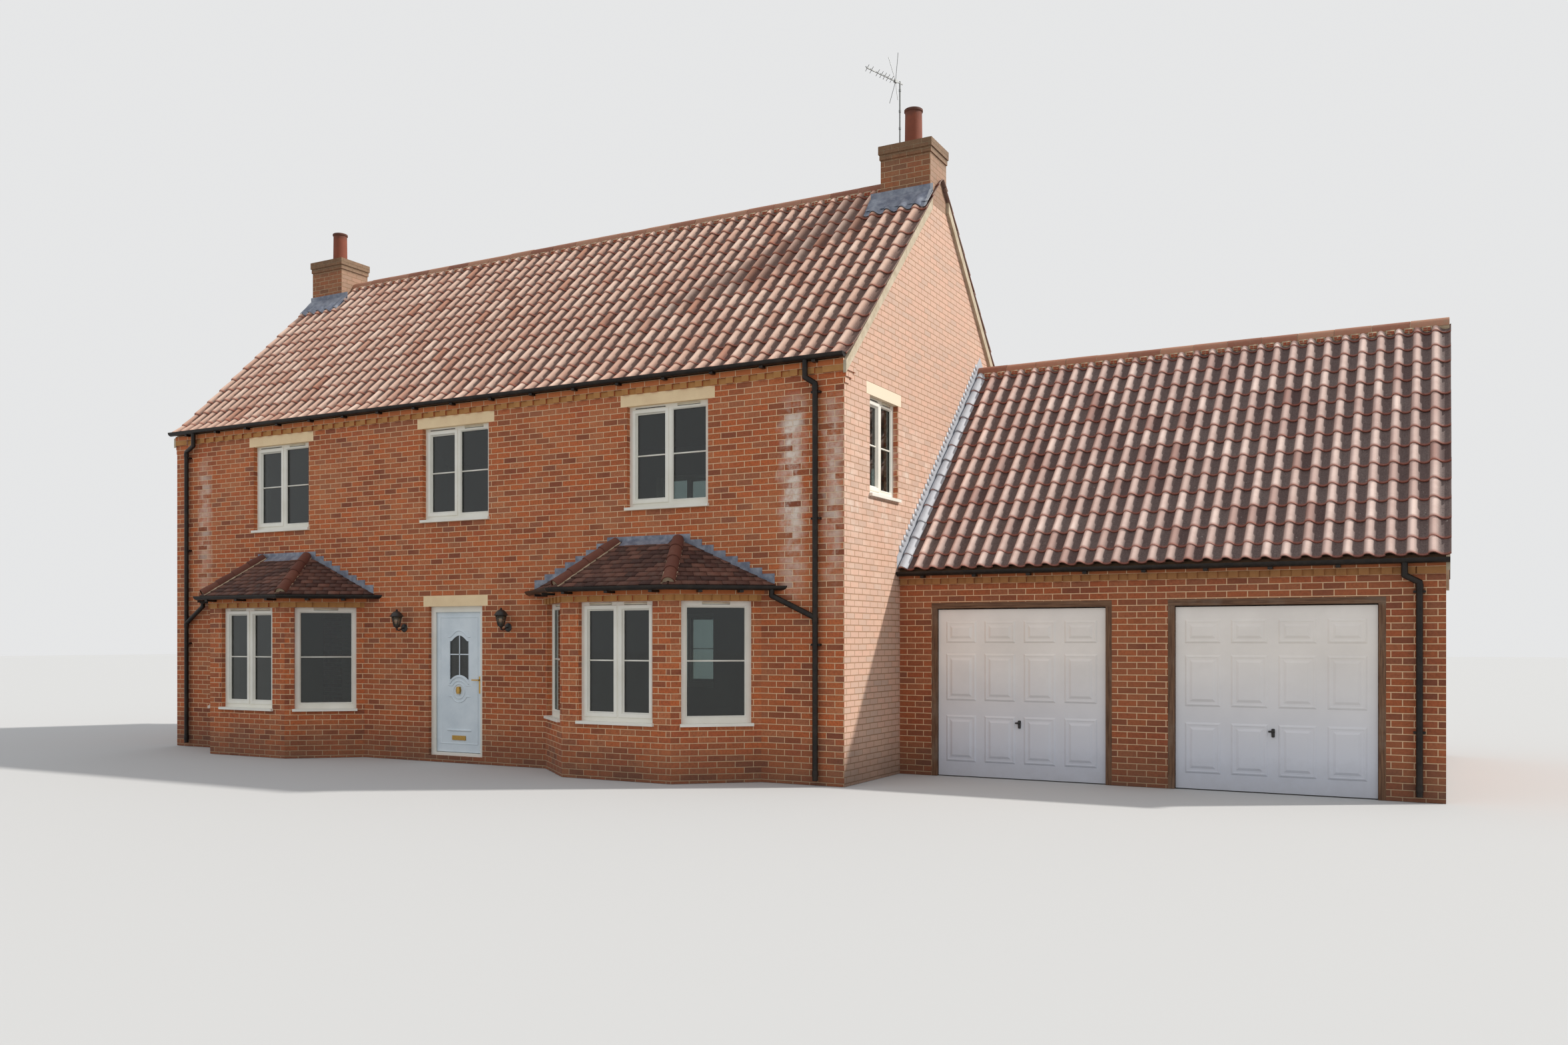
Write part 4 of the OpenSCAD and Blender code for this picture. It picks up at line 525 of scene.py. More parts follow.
def ridge_line(name, x0, x1, y, z_top, count, node, hips=()):
    """The tiles of a ridge from x0 to x1, cut to equal lengths with an open joint between two, those of
    the hips given, each lapped by the next one up, and the mortar under them and along their edges"""
    axis, open_joint = z_top - ridge_r, 0.004
    cuts = np.linspace(x0, x1, count + 1)
    jump = chance.normal(0, 0.0025, (count, 2)) + (y, axis)
    sets = [half_rounds(np.column_stack([cuts[:-1] + open_joint, jump]),
                        np.column_stack([cuts[1:] - open_joint, jump]), ridge_r, ridge_r, ridge_t, 92)]
    bed_r = ridge_r - 0.006
    beds = [half_rounds([(x0 + 0.002, y, axis)], [(x1 - 0.002, y, axis)], bed_r, bed_r, 0.05, 122)]
    for foot, head in hips:
        foot, head = np.asarray(foot, float), np.asarray(head, float)
        t = np.linspace(0, 1, hip_tiles + 1)
        low = foot + (head - foot) * t[:-1, None]
        high = foot + (head - foot) * np.minimum(t[1:] + 0.05, 1.0)[:, None]
        sets.append(half_rounds(low + (0, 0, 0.006), high, hip_r, hip_r_high, hip_t, 88))
        beds.append(half_rounds([foot + (head - foot) * 0.02], [head], 0.074, 0.066, 0.05, 100))
        aside = np.cross(head - foot, (0.0, 0.0, 1.0))
        aside *= 0.078 / np.linalg.norm(aside)
        for edge in (aside - (0, 0, 0.010), -aside - (0, 0, 0.010)):
            beds.append(half_rounds([foot + edge], [head + 0.9 * edge], 0.015, 0.013, 0.010, 120))
    shades = [(0.35, 1.0)] + [(0.0, 0.2)] * len(hips)
    tones = [np.repeat(chance.uniform(low, high, len(tiles)), tiles[0].size // 3)
             for (low, high), (tiles, _) in zip(shades, sets)]
    put(name, *joined(sets), ridge_clay, "clay_tile", smooth=35, marks={"tone": np.concatenate(tones)},
        stands_for=(node,))
    put(name + "_bedding", *joined(beds), bed, "cream_mortar", smooth=35)


bay_edge_x, bay_edge_y, bay_edge_z, bay_top_x, bay_top_z = 0.864, -0.84, 2.39, 0.47, 3.0
hip_lines = [((axis + s * bay_edge_x * 0.985, bay_edge_y + 0.02, bay_edge_z + 0.02),
              (axis + s * bay_top_x, -0.012, bay_top_z + 0.004))
             for axis in (left_bay_axis, right_bay_axis) for s in (-1, 1)]
ridge_line("ridge_and_hip_tiles", stack_w, main_w - stack_w, main_d / 2, main_ridge_z, 23, "ridge_tiles",
           hip_lines)
ridge_line("garage_ridge_tiles", main_w + 0.002, main_w + garage_w + 0.04, garage_ridge_y, garage_ridge_z, 14,
           "garage_ridge")


def blocks(lows, highs):
    """Rectangular blocks from their lowest and highest corners, each with six faces"""
    lows, highs = np.asarray(lows, float).reshape(-1, 3), np.asarray(highs, float).reshape(-1, 3)
    pick = np.array([[0, 0, 0], [1, 0, 0], [1, 1, 0], [0, 1, 0], [0, 0, 1], [1, 0, 1], [1, 1, 1], [0, 1, 1]])
    box = np.array([[0, 3, 2, 1], [4, 5, 6, 7], [0, 1, 5, 4], [1, 2, 6, 5], [2, 3, 7, 6], [3, 0, 4, 7]])
    return np.where(pick[None], highs[:, None], lows[:, None]), repeated(box, 8, len(lows))


def pan_fillings(name, x0, pitch, x_from, x_to, y, z_edge):
    """Mortar filling each pan below a ridge's edges, at x0 + pitch * (n + 0.77), and four slips of red
    tile pressed in its face: two side by side in two rows, the lower row 13 mm out of the mortar and the
    upper one 7 mm."""
    middle = x0 + pitch * (np.arange(80) + 0.77)
    middle = np.tile(middle[(middle > x_from + 0.06) & (middle < x_to - 0.06)], 2)
    way = np.repeat([-1.0, 1.0], len(middle) // 2)

    def boxes(x, half, near, far, z0, z1):
        """Blocks half to each side of x, from near to far off the ridge's line on either slope"""
        edges = y + way * near, y + way * far
        return blocks(np.stack([x - half, np.minimum(*edges), 0 * x + z0], -1),
                      np.stack([x + half, np.maximum(*edges), 0 * x + z1], -1))

    fill = boxes(middle, 0.056, 0.04, 0.124, z_edge - 0.112, z_edge + 0.004)
    put(name + "_mortar", *fill, bed, "cream_mortar")
    slips = []
    for low, out in ((-0.056, 0.137), (-0.029, 0.131)):
        for step in (-0.024, 0.024):
            x = middle + step + chance.normal(0, 0.0025, len(middle))
            z = z_edge + low + chance.normal(0, 0.002, len(x))
            slips.append(boxes(x, 0.020, 0.10, out, z, z_edge + low + 0.017))
    put(name + "_slips", *joined(slips), slip_clay, "clay_tile")


slip_clay = mottled("slip_clay", 0.8, (12.0, 4.0), (150, 74, 50), (190, 104, 74), ((90.0, 4.0), 0.001, 0.6))
main_pitch = (main_w + 2 * verge_out) / main_columns
garage_pitch = (garage_w + 0.036) / garage_columns
pan_fillings("main_ridge", -verge_out, main_pitch, 0.76, main_w - 0.76, main_d / 2, main_ridge_z - ridge_r)
pan_fillings("garage_ridge_pans", garage_x0, garage_pitch, main_w, main_w + garage_w + 0.05, garage_ridge_y,
             garage_ridge_z - ridge_r)


# Bay roofs: plain clay tiles, 165 mm wide in courses of 100 mm with broken joints, on three slopes
# that meet under the hip tiles. Dark plum brown, each nose tipped up by the course under it.
plum = Shader("plain_tile_clay", 0.8)
clay = plum.ramp(plum.attribute("tone"), (0.0, rgb(70, 44, 38)), (0.5, rgb(94, 62, 52)),
                 (1.0, rgb(120, 80, 66)))
film = plum.band(plum.noise(12.0, 4.0, 0.7), 0.5, 0.7) * 0.30
plum.to("Base Color", plum.mix(film, clay, rgb(104, 96, 86)))
plum.bump(plum.noise(80.0, 4.0, 0.7), 0.0015, 0.7)


def plain_tiles(eave_left, eave_right, top_left, top_right):
    """Tiles on the flat slope between an eaves edge and a top edge. Rows follow the eaves; each tile is
    cut to the two raking sides. The nose is lifted 27 mm and the head 10 mm off the slope."""
    a, b, tl, tr = (np.asarray(v, float) for v in (eave_left, eave_right, top_left, top_right))
    width = np.linalg.norm(b - a)
    along = (b - a) / width
    up = (tl - a) - along * np.dot(tl - a, along)
    height = np.linalg.norm(up)
    up /= height
    left_top, right_top = np.dot(tl - a, along), np.dot(tr - a, along)
    tile, step = 0.165, 0.1
    rows, columns = int(height / step), int(width / tile) + 3
    r, c = (m.ravel() for m in np.meshgrid(np.arange(rows), np.arange(columns), indexing="ij"))
    nose = r * step - 0.012 + chance.normal(0, 0.0015, len(r))
    head = np.minimum(nose + 0.15, height)
    u0 = (c - 1 + 0.5 * (r % 2)) * tile + 0.0015
    u1 = u0 + tile - 0.003

    def within(u, v):
        """u held between the raking sides, which lean in by straight lines up to the height"""
        return np.clip(u, left_top * v / height, width + (right_top - width) * v / height)

    us = np.stack([within(u0, nose), within(u1, nose), within(u1, head), within(u0, head)], -1)
    vs = np.stack([nose, nose, head, head], -1)
    keep = (us[:, 1] - us[:, 0] > 0.01) | (us[:, 2] - us[:, 3] > 0.01)
    us, vs = us[keep], vs[keep]
    n, normal = len(us), np.cross(along, up)
    lift = np.array([0.027, 0.027, 0.010, 0.010])[None] + chance.normal(0, 0.0012, (n, 1))
    top = a + us[..., None] * along + vs[..., None] * up + lift[..., None] * normal
    places = np.concatenate([top, top - 0.013 * normal], 1)
    box = np.array([[0, 1, 2, 3], [7, 6, 5, 4], [0, 4, 5, 1], [1, 5, 6, 2], [2, 6, 7, 3], [3, 7, 4, 0]])
    return (places, repeated(box, 8, n)), np.repeat(chance.uniform(0, 1, n), 8)


foot_x, wall_y = 1.856, -0.002
for name, node, axis in (("left_bay_tiles", "left_bay_roof", left_bay_axis),
                         ("right_bay_tiles", "right_bay_roof", right_bay_axis)):
    left_edge, right_edge = ((axis + s * bay_edge_x, bay_edge_y, bay_edge_z) for s in (-1, 1))
    left_foot, right_foot = ((axis + s * foot_x, wall_y, bay_edge_z) for s in (-1, 1))
    left_top, right_top = ((axis + s * bay_top_x, wall_y, bay_top_z) for s in (-1, 1))
    slopes = [plain_tiles(left_edge, right_edge, left_top, right_top),
              plain_tiles(right_edge, right_foot, right_top, (right_top[0] + 0.001, wall_y, bay_top_z)),
              plain_tiles(left_foot, left_edge, (left_top[0] - 0.001, wall_y, bay_top_z), left_top)]
    put(name, *joined([tiles for tiles, _ in slopes]), plum, "plain_tile", weld=True,
        marks={"tone": np.concatenate([tones for _, tones in slopes])})
    show([node], felt)


# White plastic windows: extruded frames, screwed in their openings over the sills, with a welded sash in
# the left light, a glazing bead in the right one, a thin bar across the glass at mid height, and a cream
# vent clipped on the head over a slot. Each slot is a thin block painted dark as the shade in its opening.
def plastic(name, colour, shadow, roughness):
    """Satin moulded plastic with a faint grey bloom where rain doesn't reach"""
    s = Shader(name, roughness)
    s.to("Base Color", s.mix(s.band(s.noise(2.5, 4.0, 0.6), 0.4, 0.75), rgb(*colour), rgb(*shadow)))
    s.to("Roughness", s.noise(30.0) * 0.15 + (roughness - 0.07))
    return s


white = plastic("window_plastic", (245, 242, 231), (234, 230, 216), 0.38)
show(["upper_windows", "bay_windows", "gable_windows", "rear_windows", "window_sills", "door_frame"], white)
glass = Shader("window_glass", 0.02, IOR=1.5,
               **{"Base Color": (0.30, 0.36, 0.35, 1.0), "Transmission Weight": 1.0})
show(["upper_glass", "ground_glass", "door_glass"], glass)

# every window as its foot's left corner, the way to its right and the way inwards, width, height, and its
# lights from the left: s is a sash that opens, f is fixed glass
windows = []
door_axis, window_pitch, wide, tall, ground_z, upper_z = 6.045, 3.572, 1.235, 1.35, 0.86, 3.41
for x in (door_axis - window_pitch, door_axis, door_axis + window_pitch):
    windows.append(((x - wide / 2, 0, upper_z), (1, 0), (0, 1), wide, tall, "sf"))
    windows += [((x + wide / 2, main_d, z), (-1, 0), (0, -1), wide, tall, "sf") for z in (ground_z, upper_z)]
gable_y, gable_z, wide, tall = 0.735, 3.51, 0.885, 1.25
windows.append(((0, gable_y + wide, gable_z), (0, -1), (1, 0), wide, tall, "sf"))
windows.append(((main_w, gable_y, gable_z), (0, 1), (-1, 0), wide, tall, "sf"))
bay_z, bay_w, bay_hx, splay_w, tall, splay_in = 0.685, 1.12, 0.82, 0.87, 1.525, 0.13
c, s = math.cos(bay_turn), math.sin(bay_turn)
for axis in (left_bay_axis, right_bay_axis):
    windows.append(((axis - bay_w / 2, -bay_out, bay_z), (1, 0), (0, 1), bay_w, tall, "ss"))
    windows.append(((axis + bay_hx + splay_in * c, -bay_out + splay_in * s, bay_z), (c, s), (-s, c),
                    splay_w, tall, "f"))
    windows.append(((axis - bay_half + splay_in * c, -splay_in * s, bay_z), (c, -s), (s, c),
                    splay_w, tall, "f"))
reveal, frame_w, sill_t = 0.068, 0.062, 0.045


def moulded_rings(rects, profile, face_y):
    """A closed moulding run round each rectangle (x0, z0, x1, z1) with mitred corners: profile is a
    closed list of (distance in from the rectangle's edge, depth behind face_y). Corners by rows of four."""
    rects, (into, depth) = np.asarray(rects, float), np.transpose(profile)
    x = rects[:, [0, 2, 2, 0], None] + np.array([[1], [-1], [-1], [1]]) * into
    z = rects[:, [1, 1, 3, 3], None] + np.array([[1], [1], [-1], [-1]]) * into
    y = np.broadcast_to(depth + face_y, x.shape)
    m = len(profile)
    return np.stack([x, y, z], -1), repeated(net(4, m, True, True)[:, ::-1], 4 * m, len(rects))


def on_wall(shape, foot, right, inward):
    """Turns a shape's (across, depth, up) from a window's foot into the house's directions"""
    across, depth, up = np.reshape(shape[0], (-1, 3)).T[..., None]
    return foot + across * (*right, 0.0) + depth * (*inward, 0.0) + up * (0.0, 0.0, 1.0), shape[1]


sash_profile = [(0.0, 0.010), (0.004, -0.010), (0.010, -0.014), (0.046, -0.014), (0.052, -0.010),
                (0.062, 0.012), (0.070, 0.016), (0.070, 0.030)]
bead_profile = [(-0.004, -0.003), (0.004, -0.006), (0.018, 0.010), (0.020, 0.022), (-0.004, 0.022)]
sashes, bars, vents, slots = [], [], [], []
for foot, right, inward, w, h, lights in windows:
    light_w = (w - (len(lights) + 1) * frame_w) / len(lights)
    z0, z1 = sill_t + frame_w, h - frame_w
    mid = (z0 + z1) / 2 + 0.01
    for i, kind in enumerate(lights):
        x0 = frame_w + i * (light_w + frame_w)
        x1 = x0 + light_w
        profile, grow, inset = (sash_profile, 0.022, 0.045) if kind == "s" else (bead_profile, 0.0, 0.012)
        shapes = [
            (sashes, moulded_rings([(x0 - grow, z0 - grow, x1 + grow, z1 + grow)], profile, reveal)),
            (bars, blocks((x0 + inset, reveal + 0.014, mid - 0.009),
                          (x1 - inset, reveal + 0.034, mid + 0.009)))]
        if lights == "sf" and kind == "s":
            shapes.append((slots, blocks((x0 + 0.03, reveal - 0.004, h - 0.034),
                                         (x1 - 0.03, reveal + 0.002, h - 0.024))))
        else:
            half, mid_x = min(0.17, light_w * 0.36), (x0 + x1) / 2
            shapes += [
                (group, blocks((mid_x - half, reveal - out, low), (mid_x + half, reveal + 0.002, high)))
                for group, out, low, high in ((vents, 0.009, h - 0.036, h - 0.012),
                                              (slots, 0.004, h - 0.041, h - 0.036))]
        for group, shape in shapes:
            group.append(on_wall(shape, foot, right, inward))
vent_cream = plastic("vent_plastic", (236, 228, 204), (222, 212, 186), 0.45)
# painted shade: the dark colour of the slot blocks stands for the shade inside the vents' openings
vent_slot_shade = plastic("vent_slot_painted_shade", (52, 50, 46), (34, 32, 30), 0.5)
put("window_sashes", *joined(sashes), white, "white_plastic", smooth=30)
put("glazing_bars", *joined(bars), white, "white_plastic")
put("window_vents", *joined(vents), vent_cream, "white_plastic")
put("vent_slot_shades", *joined(slots), vent_slot_shade, "black_plastic")


# Front door: a white plastic panel door in a white frame, pressed with an arched light of four panes,
# a scrolled roundel under it with a brass knocker, a moulded panel edge, and a brass letter plate.
door_glass_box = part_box("door_glass")
door_mid = (door_glass_box[0][0] + door_glass_box[1][0]) / 2 - corner[0]
leaf_y, hub = 0.084, 1.005


def raised_strip(line, width, height, closed=False):
    """A bead with a rounded back carried along a line of (x, z) on the door's face: across it the
    height follows half a circle's arc. Its ends drop to 0.35 of the height unless it closes on itself."""
    line = np.asarray(line, float)
    run = unit(np.roll(line, -1, 0) - np.roll(line, 1, 0) if closed else np.gradient(line, axis=0))
    side = np.stack([-run[:, 1], run[:, 0]], -1)
    t = np.linspace(-1, 1, 6)
    full = np.ones(len(line))
    if not closed:
        full[0] = full[-1] = 0.35
    xz = line[:, None] + side[:, None] * (t[None, :, None] * width / 2)
    y = leaf_y + 0.002 - full[:, None] * (np.sqrt(1 - t ** 2) * height)[None, :]
    front = np.stack([xz[..., 0], y, xz[..., 1]], -1)
    back = front[:, [5, 0]].copy()
    back[..., 1] = leaf_y + 0.006
    m = 8
    faces = net(len(line), m, round_rows=closed, round_columns=True)[:, ::-1]
    if not closed:
        caps = np.array([[7, 0, 5, 6], [0, 1, 4, 5], [1, 2, 3, 4]])
        faces = np.concatenate([faces, caps, caps[:, ::-1] + (len(line) - 1) * m])
    return np.concatenate([front, back], 1), faces


def arc(radius, start, stop, count):
    """Points (x, z) of a circle about the roundel's hub, angles in degrees from straight right"""
    a = np.radians(np.linspace(start, stop, count))
    return np.stack([door_mid + radius * np.cos(a), hub + radius * np.sin(a)], -1)


def eared(points, rise):
    """A line of points from right to left with a short level ear at each end, at rise above the hub"""
    ears = [(door_mid + out, hub + rise) for out in (0.212, 0.165, -0.165, -0.212)]
    return np.concatenate([ears[:2], points, ears[2:]])


door_white = plastic("door_plastic", (226, 236, 242), (208, 220, 228), 0.32)
show(["front_door"], door_white)
panel_edge = [(0.0, 0.004), (0.0, -0.004), (0.006, -0.007), (0.013, -0.004), (0.018, 0.0), (0.018, 0.004)]
bow = np.linspace(-1, 1, 31)
brow = 1.775 + 0.075 * np.clip(np.cos(bow * math.pi * 0.62) * 1.25 - 0.05, 0.0, 1.2) ** 1.1
ledge = np.stack([np.linspace(-0.225, 0.225, 9) + door_mid, np.full(9, 0.452)], -1)
put("door_mouldings", *joined([
    moulded_rings([(door_mid - 0.352, 0.255, door_mid + 0.352, 2.06)], panel_edge, leaf_y),
    raised_strip(np.stack([door_mid + 0.205 * bow, brow], -1), 0.020, 0.011),
    raised_strip(arc(0.104, 0, 352, 44), 0.022, 0.010, closed=True),
    raised_strip(arc(0.052, 0, 352, 44), 0.012, 0.005, closed=True),
    raised_strip(eared(arc(0.150, 32, 148, 30), 0.082), 0.020, 0.010),
    raised_strip(arc(0.205, 28, 152, 34), 0.030, 0.014),
    raised_strip(eared(arc(0.156, -28, -152, 30), -0.073), 0.020, 0.010),
    raised_strip(ledge, 0.034, 0.015)]), door_white, "white_plastic", body="front_door_leaf", smooth=40)


def infill(x, low, high):
    """A thin plate between two heights over the same places across: front and back faces, and its rim"""
    x, low, high = np.broadcast_arrays(x, low, high)
    y = 0 * x + leaf_y - 0.001
    front = np.stack([np.stack([x, y, low], -1), np.stack([x, y, high], -1)])
    back = front + (0, 0.02, 0)
    n = len(x)
    ends = np.array([[0, n, 2 * n, 3 * n], [4 * n - 1, 3 * n - 1, 2 * n - 1, n - 1]])
    return np.concatenate([front, back[::-1]]), np.concatenate([net(4, n, round_rows=True), ends])


light_half, stile_x, bar_y = 0.1745, 0.178, leaf_y + 0.004
off_mid = np.linspace(-light_half, light_half, 41)
across = off_mid + door_mid
ogee = 1.722 + 0.078 * np.clip(np.cos(off_mid / light_half * math.pi * 0.56) * 1.12 - 0.10, 0.0, 1.1)
shoulder = np.sqrt(np.maximum(0.222 ** 2 - off_mid ** 2, 0.0)) + hub
surround = [infill(across, ogee, 1.8495), infill(across, 1.1705, shoulder)]
surround += [raised_strip(np.stack([across, height], -1), 0.012, 0.006)
             for height in (ogee - 0.002, shoulder + 0.004)]
surround += [raised_strip([(door_mid + side, 1.14 + 0.01 * k) for k in range(60)], 0.014, 0.007)
             for side in (-stile_x, stile_x)]
surround.append(blocks([(door_mid - 0.007, bar_y, 1.2), (door_mid - 0.172, bar_y, 1.521)],
                       [(door_mid + 0.007, leaf_y + 0.018, 1.80), (door_mid + 0.172, leaf_y + 0.018, 1.535)]))
put("door_light_surround", *joined(surround), door_white, "white_plastic", body="front_door_leaf", smooth=40)

brass = mottled("door_brass", 0.28, (40.0, 4.0), (196, 160, 92), (164, 128, 70), metallic=1.0)
show(["door_furniture"], brass)
knocker = [(0.046 * np.sin(a) * 0.72 + door_mid, hub + 0.016 + 0.046 * np.cos(a))
           for a in np.radians(np.arange(0, 360, 15))]
put("door_knocker_ring", *raised_strip(knocker, 0.012, 0.036, closed=True), brass, "brass",
    body="front_door_leaf", smooth=40)


# Wall lanterns: black cast metal, screwed to the wall either side of the door by a round back plate and
# hung on a cranked arm, with six tapering glass panes between ribs, a flared domed roof and a finial.
def turned(profile, centre, loop=False):
    """A profile of (radius, height), listed upwards on its outside, turned about an upright axis. Radius 0
    closes each end, or the profile is itself a closed loop."""
    profile = np.asarray(profile, float)
    a = np.radians(np.arange(24) * 15.0)
    x, y = profile[:, :1] * np.cos(a), profile[:, :1] * np.sin(a)
    z = np.broadcast_to(profile[:, 1:], x.shape)
    return np.stack([x, y, z], -1) + np.asarray(centre), net(len(profile), 24, loop, True)


def swept(path_points, radius, sides=12):
    """A round rod along a path of points: rings square to the path, closed at both ends"""
    line = np.asarray(path_points, float)
    run = unit(np.gradient(line, axis=0))
    side = unit(np.cross(run, (0.31, 0.9, 0.29)))
    over = np.cross(side, run)
    a = np.radians(np.arange(sides) * 360.0 / sides)[:, None]
    radius = np.broadcast_to(radius, (len(line),))[:, None, None]
    rings = line[:, None] + radius * (np.cos(a) * side[:, None] + np.sin(a) * over[:, None])
    rings = np.concatenate([np.repeat(line[:1, None], sides, 1), rings, np.repeat(line[-1:, None], sides, 1)])
    return rings, net(len(rings), sides, round_columns=True)[:, ::-1]


black = mottled("lantern_black", 0.42, (30.0, 4.0), (30, 29, 28), (52, 50, 47), ((160.0,), 0.0006))
plate = np.array([(0.0, 0.0), (0.058, 0.0), (0.060, 0.008), (0.050, 0.016), (0.030, 0.022), (0.0, 0.025)])
cup = [(0.0, 1.868), (0.009, 1.872), (0.012, 1.884), (0.008, 1.896), (0.022, 1.908), (0.030, 1.916),
       (0.044, 1.922), (0.047, 1.932), (0.044, 1.936), (0.0, 1.936)]
hood = [(0.0, 2.062), (0.078, 2.062), (0.097, 2.068), (0.099, 2.074), (0.088, 2.082), (0.078, 2.100),
        (0.060, 2.124), (0.038, 2.140), (0.018, 2.148), (0.012, 2.154), (0.016, 2.162), (0.010, 2.170),
        (0.0, 2.176)]
castings, panes = [], []
lantern_out, cy, base = 0.97, -0.150, 1.905
a, b = np.radians(np.arange(24) * 15.0), np.radians(60 * np.arange(6) + 30)
for cx in (door_axis - lantern_out, door_axis + lantern_out):
    disc = np.stack([cx + plate[:, :1] * np.cos(a), np.broadcast_to(-plate[:, 1:], (6, 24)),
                     base + plate[:, :1] * np.sin(a)], -1)
    castings.append((disc, net(6, 24, round_columns=True)))
    bend = [(cx, -0.015, base), (cx, -0.05, base - 0.006), (cx, -0.085, base - 0.028),
            (cx, -0.115, base - 0.036), (cx, -0.142, base - 0.026), (cx, cy, base + 0.005)]
    castings.append(swept(bend, [0.012, 0.010, 0.009, 0.009, 0.010, 0.012]))
    castings += [turned(cup, (cx, cy, 0)), turned(hood, (cx, cy, 0))]
    for rib in (math.radians(60 * k + 30) for k in range(6)):
        low = np.array([cx + 0.043 * math.cos(rib), cy + 0.043 * math.sin(rib), 1.930])
        high = np.array([cx + 0.074 * math.cos(rib), cy + 0.074 * math.sin(rib), 2.066])
        castings.append(swept([low, (low + high) / 2, high], 0.0045, 6))
    outer = np.stack([np.stack([cx + r * np.cos(b), cy + r * np.sin(b), 0 * b + h], -1)
                      for r, h in ((0.041, 1.933), (0.071, 2.064), (0.068, 2.064), (0.038, 1.933))])
    panes.append((outer, net(4, 6, True, True)))
put("lantern_castings", *joined(castings), black, "black_metal", smooth=35, weld=True,
    stands_for=("wall_lanterns",))
lamp_glass = Shader("lantern_glass", 0.08, IOR=1.5,
                    **{"Base Color": (0.72, 0.62, 0.46, 1.0), "Transmission Weight": 0.85})
put("lantern_panes", *joined(panes), lamp_glass, "window_glass")


# Gutters and downpipes: black moulded plastic dulled by dust, held to the wall by brackets and clips.
# The pipes push into one another, with a socket collar under each joint.
rain = Shader("rainwater_plastic", 0.42, **{"Specular IOR Level": 0.3})
dust = rain.band(rain.noise(6.0, 4.0, 0.65), 0.45, 0.7) * 0.6
rain.to("Base Color", rain.mix(dust, rgb(30, 25, 22), rgb(60, 50, 42)))
show(["gutters", "downpipes"], rain)
collar = np.array([(0.030, 0.0), (0.0375, 0.0), (0.0385, 0.004), (0.0385, 0.060), (0.0365, 0.066),
                   (0.030, 0.066)])
pipe_out, house_joints, garage_joints = 0.056, (0.11, 1.93, 4.70), (0.11, 2.27)
pipes = ((0.312, -pipe_out, house_joints), (main_w - 0.356, -pipe_out, house_joints),
         (main_w + garage_w - 0.25, garage_back - pipe_out, garage_joints))
sockets = [turned(collar + (0, h), (px, py, 0), loop=True) for px, py, heights in pipes for h in heights]
put("pipe_sockets", *joined(sockets), rain, "black_plastic", smooth=40)


# Stone lintels: cast cream stone, faintly mottled and speckled, built into the wall over each opening.
# The one on the sunny gable is painted paler and whiter, as painted sunlight.
sunny_gable = main_w + corner[0]
stone = Shader("lintel_stone", 0.82)
x, y, z = stone.xyz()
speck = stone.noise(120.0, 3.0, 0.8)
cream = stone.mix(stone.band(stone.noise(3.0, 4.0, 0.6), 0.35, 0.7), rgb(255, 227, 182), rgb(243, 212, 168))
# painted sunlight: the lintel on the sunny gable paler and whiter than those in shade
cream = stone.mix((x > sunny_gable - 0.14) * 0.8, cream, rgb(232, 220, 198))
stone.to("Base Color", stone.mix(stone.band(speck, 0.55, 0.8) * 0.25, cream, rgb(150, 126, 92)))
stone.bump(speck, 0.0012, 0.6)
show(["stone_lintels"], stone)

# Verges: cream mortar in which the edge tiles of the main roof are bedded. It is trowelled off by hand
# and stands out from the gables.
show(["verge_strips"], mortar_finish("verge_mortar", (204, 190, 166), (174, 158, 132)))

# Lead: sheet lead beaten over the tiles and let into the joints of the brickwork, up the gable over the
# garage roof, below the chimneys and over the bays. Dull blue grey with a pale bloom. On the sunny gable
# and the garage beyond it the lead is painted paler still, as painted sunlight.
lead = Shader("lead_sheet", 0.5, Metallic=0.15)
x, y, z = lead.xyz()
sheet = lead.mix(lead.band(lead.noise(7.0, 4.0, 0.65), 0.38, 0.7), rgb(104, 110, 126), rgb(156, 161, 172))
# painted sunlight: lead from the sunny gable onwards is painted paler
lead.to("Base Color", lead.mix((x > sunny_gable - 0.001) * 0.72, sheet, rgb(196, 198, 202)))
lead.to("Roughness", lead.noise(25.0) * 0.25 + 0.4)
lead.bump(lead.noise(11.0, 2.0), 0.006, 0.5)
show(["lead_flashings"], lead)
for side, y_eaves, way in garage_slopes:
    name = "garage_lead_cover" if side == "front" else "garage_lead_cover_rear"
    pantiles(name, garage_x0, garage_x0 + garage_pitch, y_eaves,
             garage_eaves_z + roof_t - roof_edge, garage_ridge_y, way, lead, columns=1, cover=0.007, end=0.60,
             slot="lead")
# one step of lead in each course of the gable, up the front slope and down the rear one
flashing_rise, lowest_step, highest_step = 0.26, 2.95, 5.98
step_z = np.arange(38, 79) * course + lowest_joint
step_z = step_z[(step_z > lowest_step) & (step_z < highest_step)]
step_y = step_z - course - (garage_eaves_z + roof_t + flashing_rise - garage_back)
behind = step_y > 2 * garage_ridge_y - main_d
step_y = np.concatenate([step_y, (2 * garage_ridge_y - step_y - course)[behind]])
step_z = np.concatenate([step_z, step_z[behind]])
step_x = 0 * step_y + main_w + 0.0002
steps = blocks(np.stack([step_x, step_y, step_z - course - 0.012], -1),
               np.stack([step_x + 0.005, step_y + course, step_z], -1))
put("stepped_lead_edge", *steps, lead, "lead")


